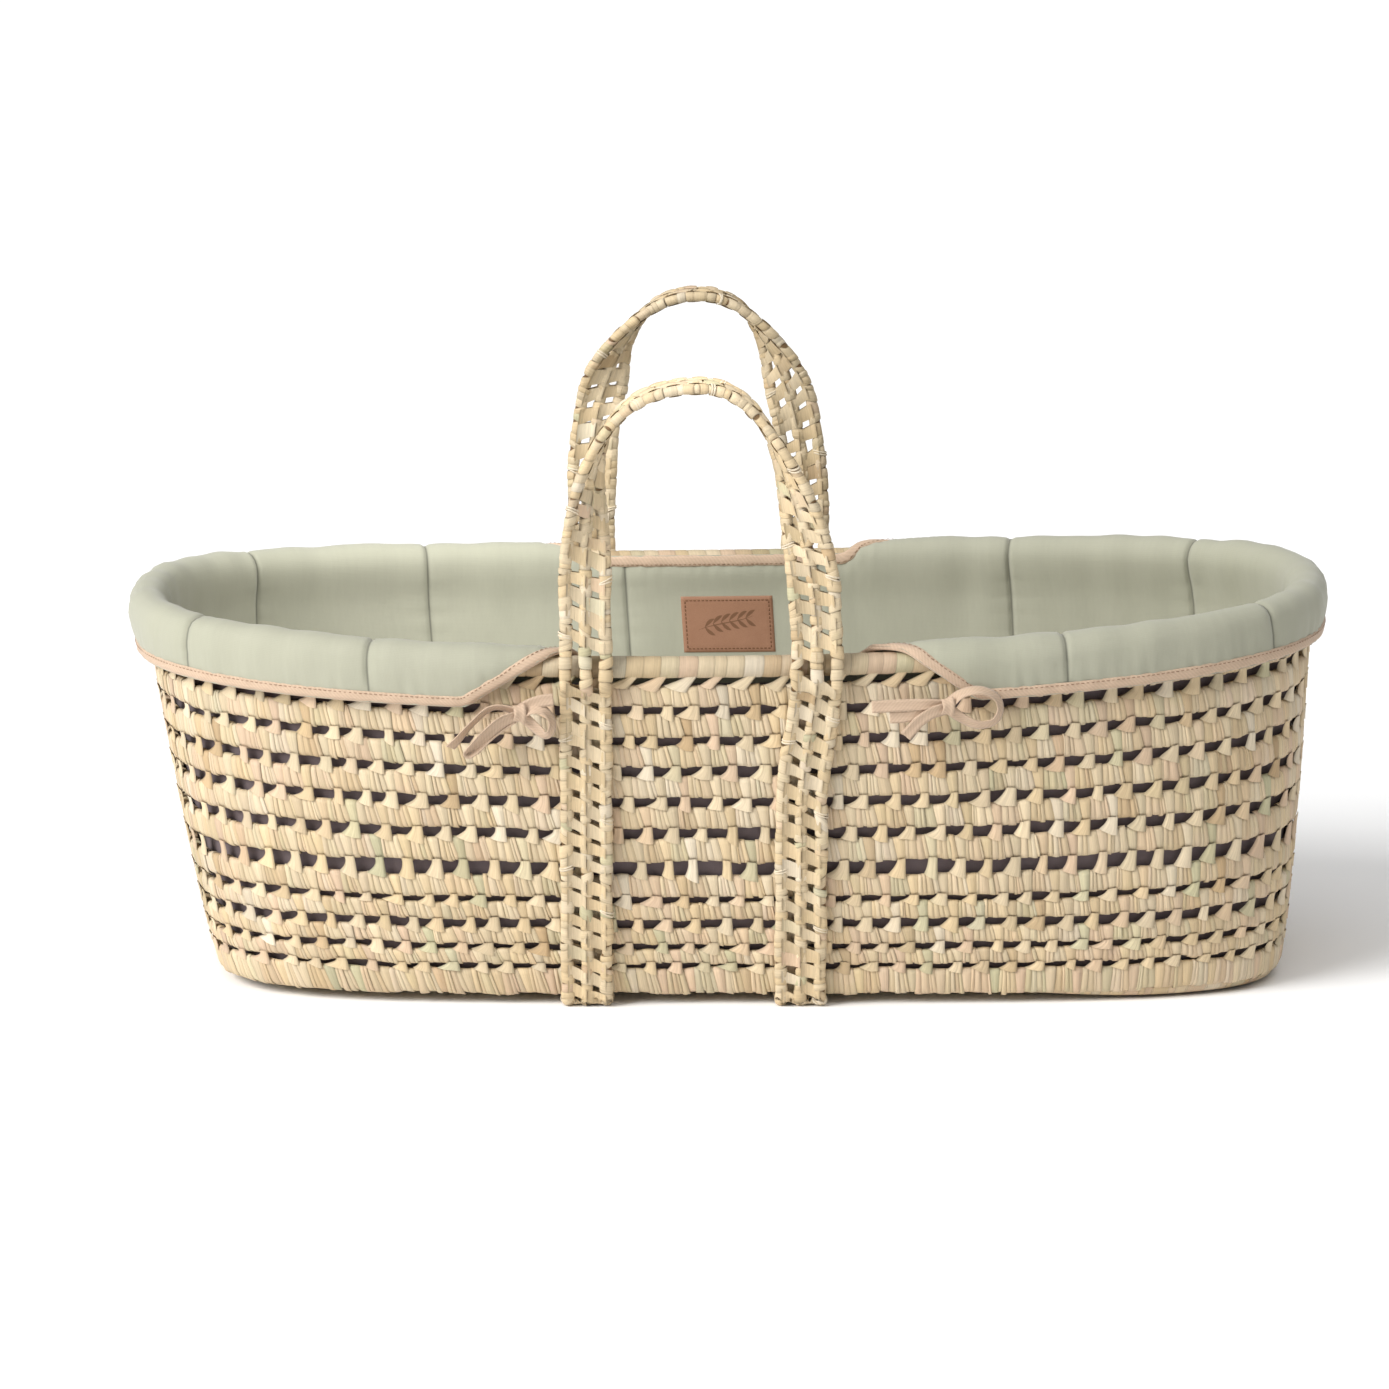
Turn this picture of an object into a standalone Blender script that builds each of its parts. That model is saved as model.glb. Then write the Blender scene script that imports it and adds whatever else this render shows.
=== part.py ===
"""Moses basket: open coil-and-knot woven basket with two hoop handles, a padded liner and a mattress.

Metres, +Z up, +X towards the head end.  The basket stands on the two straps that pass under its base.
Every woven coil of the wall is its own ring; the posts on a ring are the wrapped legs that reach the
next coil.  The handles turn about X-parallel axes just above the rim, the mattress lifts straight up.
"""
import math

import bmesh
import bpy
from mathutils import Vector

# ---------------------------------------------------------------- driving dimensions
GAP = 0.0003                       # clearance between pieces that touch

RIM_A, RIM_B, RIM_N = 0.4175, 0.2040, 2.6      # rim rod centreline: half length, half width, squareness
BASE_A, BASE_B, BASE_N = 0.3784, 0.1546, 4.5   # wall centreline at the floor
BASE_SHIFT = 0.016                 # the base sits this far towards the head end
FLARE = 0.8                        # how the wall opens from base to rim
RIM_Z = 0.2530                     # rim rod centre height at mid length
RIM_R = 0.0080
RISE = 0.0114                      # head end higher than foot end, per metre of length
SADDLE = 0.0136                    # both ends higher than the middle
SAG_HEAD, SAG_FOOT = 0.0060, 0.0030            # how far the base ends hang below its middle

FLOOR_T = 0.0660                   # level of the floor, as a fraction of the rim height
WALL_T = 0.0080                    # woven wall thickness
COIL_Z = (0.0217, 0.0361, 0.0519, 0.0710, 0.0899, 0.1169, 0.1412, 0.1647, 0.1874, 0.2097, 0.2319)
COIL_H = (0.0110, 0.0110, 0.0122, 0.0124, 0.0140, 0.0145, 0.0145, 0.0145, 0.0145, 0.0145, 0.0145)
COIL_SEGMENTS = 100                # every second segment carries a post

MAT_Z0, MAT_T = 0.0078, 0.0080     # base mat underside and thickness

STRAP_W, STRAP_T = 0.0370, 0.0075
STRAP_X = (-0.1010, 0.0500)        # strap centres low on the wall and under the base
STRAP_RIM_X = (-0.1010, 0.0600)    # the same at the rim
HINGE_Y, HINGE_Z = 0.21605, 0.2662
HANDLE_RISE = 0.1870               # hinge to arch top, centreline
ARCH_TOP = 2.2                     # roundness of the arch along its span
# how square each arch's two shoulders are: foot side, head side
SHOULDERS = {"front_handle": (5.5, 1.9), "back_handle": (3.0, 2.4)}
# where a handle's strap starts and ends its quarter turn, as shares of the rise
TWIST = {"front_handle": (0.15, 0.95), "back_handle": (0.48, 1.0)}

LINER_T = 0.0030
ROLL_MID, ROLL_T = 0.0108, 0.0030  # liner roll round the rim rod: mid radius and thickness
ROLL_ANGLES = (180, 150, 108, 64, 20)          # from the inside over the top to the outside
CUT_X = (-0.1200, 0.1100)          # liner cut-outs at the handles, at the rim
CUT_LOW_X = (-0.1850, 0.1680)      # the same at the skirt's lower corners
BIND_W = 0.0090
SEAM_GAP = 0.0007                  # the liner and its binding each stand this far off their seam
SKIRT_Z = (0.2247, 0.0053, 0.0023) # skirt's lower edge: at mid length, climb per metre, climb to both ends

MATTRESS_Z0, MATTRESS_H = 0.0196, 0.0350
MATTRESS_A, MATTRESS_B, MATTRESS_N = 0.3700, 0.1465, 4.2

LABEL_W, LABEL_H, LABEL_T = 0.0690, 0.0420, 0.0012
LABEL_X, LABEL_Z = -0.0010, 0.2070

STRAW = (0.80, 0.68, 0.47)
SAGE = (0.60, 0.60, 0.48)
BLUSH = (0.72, 0.60, 0.52)


# ---------------------------------------------------------------- basket surface
def smooth(u):
    u = min(max(u, 0.0), 1.0)
    return u * u * (3 - 2 * u)


def section(t):
    """Half length, half width, squareness and centre x of the wall at level t (0 floor, 1 rim)."""
    f = max(t, 0.0) ** FLARE
    return (BASE_A + (RIM_A - BASE_A) * f, BASE_B + (RIM_B - BASE_B) * f,
            BASE_N + (RIM_N - BASE_N) * min(t, 1.0), BASE_SHIFT * (1 - t))


def height(x, t):
    """Height of level t at length x: the floor is level, the rim rises to both ends."""
    rise = RISE * x + SADDLE * (x / RIM_A) ** 2
    return RIM_Z * t + max(t - FLOOR_T, 0.0) / (1 - FLOOR_T) * rise


def sag(x):
    """How far the base mat's underside hangs towards its ends."""
    return (SAG_HEAD if x > 0 else SAG_FOOT) * smooth((abs(x + 0.025) - 0.19) / 0.14)


def outline(a, b, n, count):
    """Points and outward normals at equal arc lengths round a superellipse, from +X."""
    fine = 4000
    pts = []
    for i in range(fine + 1):
        th = 2 * math.pi * i / fine
        c, s = math.cos(th), math.sin(th)
        pts.append((math.copysign(abs(c) ** (2 / n), c) * a, math.copysign(abs(s) ** (2 / n), s) * b))
    run = [0.0]
    for p, q in zip(pts, pts[1:]):
        run.append(run[-1] + math.dist(p, q))
    out, j = [], 0
    for i in range(count):
        want = run[-1] * i / count
        while run[j + 1] < want:
            j += 1
        u = (want - run[j]) / max(run[j + 1] - run[j], 1e-12)
        x = pts[j][0] + (pts[j + 1][0] - pts[j][0]) * u
        y = pts[j][1] + (pts[j + 1][1] - pts[j][1]) * u
        nx = math.copysign(abs(x / a) ** (n - 1) / a, x)
        ny = math.copysign(abs(y / b) ** (n - 1) / b, y)
        m = math.hypot(nx, ny)
        out.append((x, y, nx / m, ny / m))
    return out


def ring(t, offset, count):
    """Points of the wall at level t, moved outwards by offset."""
    a, b, n, x0 = section(t)
    pts = []
    for x, y, nx, ny in outline(a, b, n, count):
        px = x + nx * offset + x0
        pts.append(Vector((px, y + ny * offset, height(px, t))))
    return pts


def side_y(z, x, offset):
    """Half width of the wall at height z and length x, moved outwards by offset."""
    a, b, n, x0 = section(z / RIM_Z)
    return b * (1 - abs((x - x0) / a) ** n) ** (1 / n) + offset


# ---------------------------------------------------------------- solids
def material(name, colour, rough):
    mat = bpy.data.materials.new(name)
    mat.use_nodes = True
    bsdf = mat.node_tree.nodes["Principled BSDF"]
    bsdf.inputs["Base Color"].default_value = (*colour, 1)
    bsdf.inputs["Roughness"].default_value = rough
    return mat


def solid(name, verts, faces, colour, rough=0.7, origin=(0, 0, 0), shade=True):
    o = Vector(origin)
    mesh = bpy.data.meshes.new(name)
    mesh.from_pydata([tuple(Vector(v) - o) for v in verts], [], faces)
    bm = bmesh.new()
    bm.from_mesh(mesh)
    bmesh.ops.remove_doubles(bm, verts=bm.verts, dist=1e-6)
    bmesh.ops.recalc_face_normals(bm, faces=bm.faces)
    if bm.calc_volume(signed=True) < 0:
        bmesh.ops.reverse_faces(bm, faces=bm.faces)
    bm.to_mesh(mesh)
    bm.free()
    mesh.materials.append(material(name, colour, rough))
    if shade:
        mesh.shade_smooth()
    ob = bpy.data.objects.new(name, mesh)
    ob.location = o
    bpy.context.scene.collection.objects.link(ob)
    return ob


def skin(rings, closed):
    """Faces between successive rings of equal size; ends are capped unless the rings close."""
    k, n = len(rings[0]), len(rings)
    verts = [v for r in rings for v in r]
    faces = []
    for i in range(n if closed else n - 1):
        j = (i + 1) % n
        for m in range(k):
            q = (m + 1) % k
            faces.append((i * k + m, i * k + q, j * k + q, j * k + m))
    if not closed:
        faces.append(tuple(range(k)))
        faces.append(tuple(range((n - 1) * k, n * k)))
    return verts, faces


def band(path, width, thick):
    """Rectangular rings: path holds (centre, width direction, thickness direction, scale)."""
    rings = []
    for c, w, h, s in path:
        w2, h2 = w * (width / 2), h * (thick / 2 * s)
        rings.append([c - w2 - h2, c + w2 - h2, c + w2 + h2, c - w2 + h2])
    return rings


# ---------------------------------------------------------------- woven parts
def wall_coil(index):
    """One woven coil with its posts, as a ring with raised blocks."""
    z, h = COIL_Z[index], COIL_H[index]
    if index + 1 < len(COIL_Z):
        post = COIL_Z[index + 1] - COIL_H[index + 1] / 2 - GAP
    else:
        post = RIM_Z - RIM_R - GAP
    levels = [(z - h / 2) / RIM_Z, (z + h / 2) / RIM_Z, post / RIM_Z]
    n = COIL_SEGMENTS
    inner = [ring(t, -WALL_T / 2, n) for t in levels]
    outer = [ring(t, WALL_T / 2, n) for t in levels]
    verts = [v for r in inner + outer for v in r]
    ib, it, ip, ob, ot, op = (k * n for k in range(6))
    faces = []
    for i in range(n):
        j = (i + 1) % n
        faces += [(ib + i, ob + i, ob + j, ib + j), (ob + i, ot + i, ot + j, ob + j),
                  (ib + i, ib + j, it + j, it + i)]
        if i % 2:
            faces.append((it + i, it + j, ot + j, ot + i))
        else:
            faces += [(ot + i, op + i, op + j, ot + j), (it + i, it + j, ip + j, ip + i),
                      (ip + i, ip + j, op + j, op + i),
                      (it + i, ip + i, op + i, ot + i), (it + j, ot + j, op + j, ip + j)]
    return solid("wall_coil_%02d" % (index + 1), verts, faces, STRAW, shade=False)


def rim_hoop():
    n, k = COIL_SEGMENTS // 2, 8
    a, b, p, x0 = section(1.0)
    rings = []
    for x, y, nx, ny in outline(a, b, p, n):
        loop = []
        for m in range(k):
            th = 2 * math.pi * (m + 0.5) / k
            off = RIM_R * math.cos(th)
            loop.append(Vector((x + nx * off, y + ny * off, height(x, 1.0) + RIM_R * math.sin(th))))
        rings.append(loop)
    return solid("rim_hoop", *skin(rings, True), STRAW)


def base_mat():
    n = 64
    t0, t1 = MAT_Z0 / RIM_Z, (MAT_Z0 + MAT_T) / RIM_Z
    a, b, p, x0 = section(t1)
    loops = []
    for t, scales in ((t0, (0.0, 0.4, 0.75, 1.0)), (t1, (1.0, 0.75, 0.4, 0.0))):
        for s in scales:
            loop = []
            for x, y, nx, ny in outline(a, b, p, n):
                px = (x + nx * WALL_T / 2) * s + x0
                drop = sag(px) if t == t0 else 0.0
                loop.append(Vector((px, (y + ny * WALL_T / 2) * s, height(px, t) - drop)))
            loops.append(loop)
    verts = [v for r in loops for v in r]
    faces = []
    for i in range(len(loops) - 1):
        for m in range(n):
            q = (m + 1) % n
            faces.append((i * n + m, i * n + q, (i + 1) * n + q, (i + 1) * n + m))
    return solid("base_mat", verts, faces, STRAW)


def strap_path(side_x, rim_x):
    """Centreline of a strap up the front wall (y < 0), from under the base to the hinge."""
    off = WALL_T / 2 + GAP + STRAP_T / 2
    half = STRAP_T / 2
    edge = side_y(MAT_Z0 + MAT_T, side_x, WALL_T / 2)
    pts = [(side_x, 0.0, half), (side_x, edge * 0.5, half), (side_x, edge, half)]
    for d in (30, 60, 90):
        r = half + GAP
        pts.append((side_x, edge + r * math.sin(math.radians(d)), MAT_Z0 - r * math.cos(math.radians(d))))
    for z in (0.030, 0.060, 0.090, 0.120, 0.150, 0.180, 0.210, 0.232):
        x = side_x + (rim_x - side_x) * smooth((z - 0.15) / 0.10)
        pts.append((x, side_y(z, x, off) + 0.0006, z))
    pts += [(rim_x, HINGE_Y - 0.0004, HINGE_Z - 0.0260), (rim_x, HINGE_Y, HINGE_Z - 0.0215),
            (rim_x, HINGE_Y, HINGE_Z - 0.0041)]
    return [Vector((x, -y, z)) for x, y, z in pts]


def wall_strap(name, side_x, rim_x):
    """One continuous strap: down the front wall, under the base and up the back wall."""
    half = strap_path(side_x, rim_x)
    path = [Vector((p.x, p.y, p.z)) for p in reversed(half)] + [Vector((p.x, -p.y, p.z)) for p in half[1:]]
    rings = []
    for i, c in enumerate(path):
        tan = (path[min(i + 1, len(path) - 1)] - path[max(i - 1, 0)]).normalized()
        w = Vector((1, 0, 0))
        h = tan.cross(w).normalized()
        rings.append((c, w, h, 1.0))
    loops = band(rings, STRAP_W, STRAP_T)
    # the tops are pared to a wedge on their outer side, so the handle can fold down past them
    for end, sign in ((0, -1), (-1, 1)):
        for v in loops[end]:
            if (v.y - path[end].y) * sign > 0:
                v.y = path[end].y - sign * (STRAP_T / 2 - 0.0012)
    return solid(name, *skin(loops, False), STRAW)


def arch(name, count):
    """Points of a handle's centreline at equal steps, from its left foot, with the feet at height 0."""
    cx = (STRAP_RIM_X[0] + STRAP_RIM_X[1]) / 2
    u0 = (STRAP_RIM_X[1] - STRAP_RIM_X[0]) / 2
    fine = []
    for i in range(2001):
        g = math.pi * i / 2000
        c, s = -math.cos(g), max(math.sin(g), 0.0)
        side = SHOULDERS[name][0 if c < 0 else 1]
        x = cx + u0 * math.copysign(abs(c) ** (2 / ARCH_TOP), c)
        fine.append(Vector((x, 0, HANDLE_RISE * s ** (2 / side))))
    run = [0.0]
    for p, q in zip(fine, fine[1:]):
        run.append(run[-1] + (q - p).length)
    out, j = [], 0
    for i in range(count + 1):
        want = run[-1] * i / count
        while j < 1999 and run[j + 1] < want:
            j += 1
        out.append(fine[j].lerp(fine[j + 1], min((want - run[j]) / max(run[j + 1] - run[j], 1e-12), 1.0)))
    return out


def handle(name, sign):
    """Hoop handle: a flat strap that stands edge-on at the rim and turns to lie flat at the top."""
    cx = (STRAP_RIM_X[0] + STRAP_RIM_X[1]) / 2
    n = 32
    pts = arch(name, n)
    start, end = TWIST[name]
    path = []
    for i, c in enumerate(pts):
        tan = (pts[min(i + 1, n)] - pts[max(i - 1, 0)]).normalized()
        inplane = Vector((tan.z, 0, -tan.x))
        turn = math.pi / 2 * smooth((c.z / HANDLE_RISE - start) / (end - start))
        if i in (0, n):
            inplane = Vector((1 if i == 0 else -1, 0, 0))
        w = inplane * math.cos(turn) + Vector((0, 1, 0)) * math.sin(turn)
        h = w.cross(inplane.cross(Vector((0, 1, 0)))).normalized()
        path.append((c, w, h, 1.0))
    # round-ended feet, centred on the hinge axis
    for end in (0, -1):
        c, w, h, _ = path[end]
        foot = [(c - Vector((0, 0, STRAP_T / 2 * math.sin(d))), w, h, math.cos(d))
                for d in (0.52, 1.05, 1.40)]
        path = list(reversed(foot)) + path if end == 0 else path + foot
    loops = band(path, STRAP_W, STRAP_T)
    off = Vector((0, sign * HINGE_Y, HINGE_Z))
    loops = [[v + off for v in r] for r in loops]
    return solid(name, *skin(loops, False), STRAW, origin=(cx, off.y, off.z))


# ---------------------------------------------------------------- liner
def skirt_edge(x):
    return SKIRT_Z[0] + SKIRT_Z[1] * x + SKIRT_Z[2] * (x / RIM_A) ** 2


def liner_section(k, x):
    """Mid-surface of the liner's section as (offset from the wall centreline, height, thickness)."""
    floor_z = MAT_Z0 + MAT_T + GAP + LINER_T / 2
    wall = -(WALL_T / 2 + GAP + LINER_T / 2)
    if k == 0:
        return wall - 0.012, floor_z, LINER_T
    if k == 1:
        return wall - 0.0003, floor_z + 0.0035, LINER_T
    if k <= 4:
        return wall - 0.0003, (0.080, 0.160, 0.232)[k - 2], LINER_T
    if k <= 9:
        th = math.radians(ROLL_ANGLES[k - 5])
        return ROLL_MID * math.cos(th), RIM_Z + ROLL_MID * math.sin(th), ROLL_T
    low = skirt_edge(x)
    if k == 10:
        return ROLL_MID + 0.0006, low + BIND_W, ROLL_T
    return ROLL_MID + 0.0008, low, ROLL_T


LAST = 11                          # section index of the skirt's lower edge
INNER_EDGE = 6                     # section index where the cut-outs' edge lies


def liner_columns():
    """Rim fractions of the liner's columns, with extra ones at the cut-outs' edges."""
    fine = outline(*section(1.0)[:3], 4000)
    want = []
    for sign in (1, -1):
        for x in (CUT_X[0], CUT_X[1]):
            for dx in (0.0, math.copysign(BIND_W, x)):
                best = min((i for i in range(4000) if fine[i][1] * sign > 0),
                           key=lambda i: abs(fine[i][0] - x - dx))
                want.append(best / 4000)
    n = COIL_SEGMENTS // 2
    cols = sorted(want + [i / n for i in range(n) if min(abs(i / n - w) for w in want) > 0.006])
    return cols, set(want)


def liner_grid():
    """Inner and outer surface points for every column and section index."""
    cols, cuts = liner_columns()
    table = {}

    def at(frac, a, b, n):
        key = (round(a, 6), round(b, 6), round(n, 4))
        if key not in table:
            table[key] = outline(a, b, n, 4000)
        return table[key][int(round(frac * 4000)) % 4000]

    grid = []
    for c in cols:
        x_rim = at(c, *section(1.0)[:3])[0]
        col = []
        for k in range(LAST + 1):
            off, z, thick = liner_section(k, x_rim)
            t = z / RIM_Z
            a, b, n, x0 = section(min(t, 1.0))
            frac = c
            if k > 7:                                   # the skirt's corners slant away from the straps
                fall = min((k - 7) / 4.0, 1.0) * max(0.0, 1 - max(abs(x_rim) - 0.125, 0) / 0.16)
                lean = (CUT_LOW_X[1] - CUT_X[1]) if x_rim > 0 else (CUT_X[0] - CUT_LOW_X[0])
                if CUT_X[0] + 0.002 < x_rim < CUT_X[1] - 0.002:
                    lean = 0.0
                move = lean * fall / 2.03
                right, front = x_rim > 0, at(c, *section(1.0)[:3])[1] < 0
                frac = c + (move if right == front else -move)
            x, y, nx, ny = at(frac % 1.0, a, b, n)
            pair = []
            for o in (off - thick / 2, off + thick / 2):
                if k == 0:
                    o = off
                px = x + nx * o + x0
                dz = 0.0
                if k == 0:
                    dz = -thick / 2 if not pair else thick / 2
                elif 5 <= k <= 9:
                    th = math.radians(ROLL_ANGLES[k - 5])
                    sgn = -1 if not pair else 1
                    radial = ROLL_MID + sgn * ROLL_T / 2
                    px = x + nx * radial * math.cos(th) + x0
                    py = y + ny * radial * math.cos(th)
                    hz = height(px, 1.0) + radial * math.sin(th)
                    pair.append(Vector((px, py, hz)))
                    continue
                pair.append(Vector((px, y + ny * o, height(px, t) + dz)))
            if k in (0, 1, 2, 3, 4):                    # first of the pair faces the basket
                pair = [pair[0], pair[1]] if k == 0 else [pair[1], pair[0]]
            col.append(pair)
        grid.append(col)
    return cols, cuts, grid


def liner_cells():
    """Cell owner for each column interval and section interval: liner, binding or none."""
    cols, cuts, grid = liner_grid()
    n = len(cols)
    owner = {}
    for i in range(n):
        j = (i + 1) % n
        xa, xb = grid[i][7][0].x, grid[j][7][0].x
        mid = (xa + xb) / 2
        inside = CUT_X[0] < mid < CUT_X[1]
        edge = cols[i] in cuts and cols[j] in cuts and not inside
        for k in range(LAST):
            if inside:
                owner[i, k] = "liner" if k < INNER_EDGE - 1 else ("binding" if k == INNER_EDGE - 1 else None)
            elif edge and k >= INNER_EDGE - 1:
                owner[i, k] = "binding"
            else:
                owner[i, k] = "binding" if k == LAST - 1 else "liner"
    return cols, grid, owner


def thick_patch(name, who, colour, floor=False):
    """Closed solid over every cell one owner holds; the binding stands a hair off the liner."""
    cols, grid, owner = liner_cells()
    n = len(cols)
    verts, index = [], {}

    def middle(cells, layer):
        corners = [grid[a][b][layer] for i, k in cells for a in (i, (i + 1) % n) for b in (k, k + 1)]
        return sum(corners, Vector()) / len(corners)

    def corner_point(i, k, layer):
        """Corner moved off the seam, away from the other owner's cells, where two owners share it."""
        around = [((i - 1) % n, k - 1), (i, k - 1), ((i - 1) % n, k), (i, k)]
        around = [c for c in around if 0 <= c[1] < LAST]
        mine = [c for c in around if owner[c] == who]
        others = [c for c in around if owner[c] not in (who, None)]
        p = grid[i][k][layer].copy()
        if mine and others:
            p += (middle(mine, layer) - middle(others, layer)).normalized() * SEAM_GAP
        return p

    def vid(i, k, layer):
        key = (i % n, k, layer)
        if key not in index:
            index[key] = len(verts)
            verts.append(corner_point(i % n, k, layer))
        return index[key]

    faces = []
    for i in range(n):
        for k in range(LAST):
            if owner[i, k] != who:
                continue
            a = [(i, k), (i + 1, k), (i + 1, k + 1), (i, k + 1)]
            faces.append([vid(p, q, 0) for p, q in a])
            faces.append([vid(p, q, 1) for p, q in reversed(a)])
            around = {0: (i, k - 1), 1: ((i + 1) % n, k), 2: (i, k + 1), 3: ((i - 1) % n, k)}
            for e, other in around.items():
                if owner.get(other) == who:
                    continue
                if floor and e == 0 and k == 0:
                    continue
                # both owners of a seam split its twisted wall along the same diagonal
                p, q = sorted((a[e], a[(e + 1) % 4]), key=lambda c: (c[1], c[0] % n))
                faces.append([vid(*p, 0), vid(*q, 0), vid(*q, 1)])
                faces.append([vid(*p, 0), vid(*q, 1), vid(*p, 1)])
    if floor:
        for layer in (0, 1):
            start = [vid(i, 0, layer) for i in range(n)]
            rings = [start]
            centre = sum((verts[v] for v in start), Vector()) / n
            ring2 = []
            for v in start:
                p = centre + (verts[v] - centre) * 0.55
                dz = (-1 if layer == 0 else 1) * LINER_T / 2
                p.z = height(p.x, (MAT_Z0 + MAT_T) / RIM_Z) + GAP + LINER_T / 2 + dz
                ring2.append(len(verts))
                verts.append(p)
            hub = len(verts)
            p = centre.copy()
            face = -1 if layer == 0 else 1
            p.z = height(p.x, (MAT_Z0 + MAT_T) / RIM_Z) + GAP + LINER_T / 2 + face * LINER_T / 2
            verts.append(p)
            for m in range(n):
                q = (m + 1) % n
                faces.append([start[m], ring2[m], ring2[q], start[q]])
                faces.append([ring2[m], hub, ring2[q]])
    return solid(name, verts, faces, colour, 0.9)


def label_patch():
    n = 4
    y = side_y(LABEL_Z, LABEL_X, 0)
    inner = -(WALL_T / 2 + 2 * GAP + LINER_T + 0.0006 + LABEL_T / 2)
    rings = []
    for i in range(n + 1):
        x = LABEL_X - LABEL_W / 2 + LABEL_W * i / n
        loop = []
        for z, th in ((-1, -1), (1, -1), (1, 1), (-1, 1)):
            zz = LABEL_Z + z * LABEL_H / 2
            loop.append(Vector((x, side_y(zz, x, inner + th * LABEL_T / 2), height(x, zz / RIM_Z))))
        rings.append(loop)
    return solid("label_patch", *skin(rings, False), (0.55, 0.33, 0.20), 0.6)


def tie_bow(name, x, sign, lean):
    """Flat bow of tape: knot, two loops and two tails, as one outline with thickness."""
    s = 1 if lean > 0 else -1
    shape = [(0.004, 0.005), (0.022, 0.013), (0.036, 0.009), (0.034, -0.004), (0.010, -0.004),
             (0.018, -0.030), (0.009, -0.033), (0.001, -0.008), (-0.012, -0.028), (-0.021, -0.025),
             (-0.012, -0.004), (-0.036, -0.008), (-0.038, 0.006), (-0.022, 0.011), (-0.004, 0.005)]
    z0 = skirt_edge(x) + 0.001
    loops = []
    for off in (0.0015, 0.0075):
        loop = []
        for dx, dz in shape:
            px = x + dx * s
            y = side_y(RIM_Z, px, ROLL_MID + 0.0026 + ROLL_T / 2 + off)
            loop.append(Vector((px, sign * y, z0 + dz)))
        loops.append(loop)
    return solid(name, *skin(loops, False), BLUSH, 0.85)


def mattress():
    n = 56
    rings = []
    for inset, z in ((0.010, 0.0), (0.0, 0.008), (0.0, MATTRESS_H - 0.008), (0.010, MATTRESS_H)):
        loop = []
        for x, y, nx, ny in outline(MATTRESS_A - inset, MATTRESS_B - inset, MATTRESS_N, n):
            loop.append(Vector((x + BASE_SHIFT, y, MATTRESS_Z0 + z)))
        rings.append(loop)
    return solid("mattress", *skin(rings, False), (0.86, 0.84, 0.78), 0.9)


# ---------------------------------------------------------------- build
for old in list(bpy.data.objects):
    bpy.data.objects.remove(old)

base_mat()
for number in range(len(COIL_Z)):
    wall_coil(number)
rim_hoop()
wall_strap("strap_left", STRAP_X[0], STRAP_RIM_X[0])
wall_strap("strap_right", STRAP_X[1], STRAP_RIM_X[1])
handle("front_handle", -1)
handle("back_handle", 1)
thick_patch("liner", "liner", SAGE, floor=True)
thick_patch("liner_binding", "binding", BLUSH)
label_patch()
for tag, y_sign in (("front", -1), ("back", 1)):
    tie_bow("tie_bow_%s_left" % tag, -0.1600, y_sign, -1)
    tie_bow("tie_bow_%s_right" % tag, 0.1480, y_sign, 1)
mattress()
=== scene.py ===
"""Looks of the moses basket: woven wall, wrapped straps and handles, padded liner, tape and mattress.

Metres, in the row frame: +Z up, +X towards the head end, the front wall faces -Y.  Woven pieces are laid out
as leaf strips in coordinates that follow the wall or a strap, and a placing function bends them into space.
"""
import math

import bpy
import numpy as np
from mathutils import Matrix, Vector


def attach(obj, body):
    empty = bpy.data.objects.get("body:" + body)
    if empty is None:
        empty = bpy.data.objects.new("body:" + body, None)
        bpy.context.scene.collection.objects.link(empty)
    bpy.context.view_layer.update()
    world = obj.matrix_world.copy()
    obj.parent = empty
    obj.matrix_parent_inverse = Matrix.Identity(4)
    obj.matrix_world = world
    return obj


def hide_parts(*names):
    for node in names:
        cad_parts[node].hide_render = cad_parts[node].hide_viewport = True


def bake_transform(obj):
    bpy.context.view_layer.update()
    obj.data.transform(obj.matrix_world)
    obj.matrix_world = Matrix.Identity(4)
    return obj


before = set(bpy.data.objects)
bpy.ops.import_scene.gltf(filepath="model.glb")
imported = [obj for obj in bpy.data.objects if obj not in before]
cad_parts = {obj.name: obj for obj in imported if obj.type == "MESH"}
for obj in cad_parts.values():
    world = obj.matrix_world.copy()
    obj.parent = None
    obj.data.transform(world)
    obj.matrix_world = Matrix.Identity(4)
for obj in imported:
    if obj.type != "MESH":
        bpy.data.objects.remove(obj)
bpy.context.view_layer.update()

# ---------------------------------------------------------------- driving dimensions, as in the CAD source
RIM_A, RIM_B, RIM_N = 0.4175, 0.2040, 2.6
BASE_A, BASE_B, BASE_N = 0.3784, 0.1546, 4.5
BASE_SHIFT = 0.016
FLARE = 0.8
RIM_Z = 0.2530
RIM_R = 0.0080
RISE = 0.0114
SADDLE = 0.0136
SAG_HEAD, SAG_FOOT = 0.0060, 0.0030
FLOOR_T = 0.0660
WALL_T = 0.0080
COIL_Z = (0.0217, 0.0361, 0.0519, 0.0710, 0.0899, 0.1169, 0.1412, 0.1647, 0.1874, 0.2097, 0.2319)
COIL_H = (0.0110, 0.0110, 0.0122, 0.0124, 0.0140, 0.0145, 0.0145, 0.0145, 0.0145, 0.0145, 0.0145)
MAT_Z0, MAT_T = 0.0078, 0.0080
STRAP_W, STRAP_T = 0.0370, 0.0075
STRAP_X = (-0.1010, 0.0500)
STRAP_RIM_X = (-0.1010, 0.0600)
HINGE_Y, HINGE_Z = 0.21605, 0.2662
HANDLE_RISE = 0.1870
ARCH_TOP = 2.2
SHOULDERS = {"front_handle": (5.5, 1.9), "back_handle": (3.0, 2.4)}
TWIST = {"front_handle": (0.15, 0.95), "back_handle": (0.48, 1.0)}
LINER_T = 0.0030
ROLL_MID = 0.0108
SKIRT_Z = (0.2247, 0.0053, 0.0023)
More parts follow.
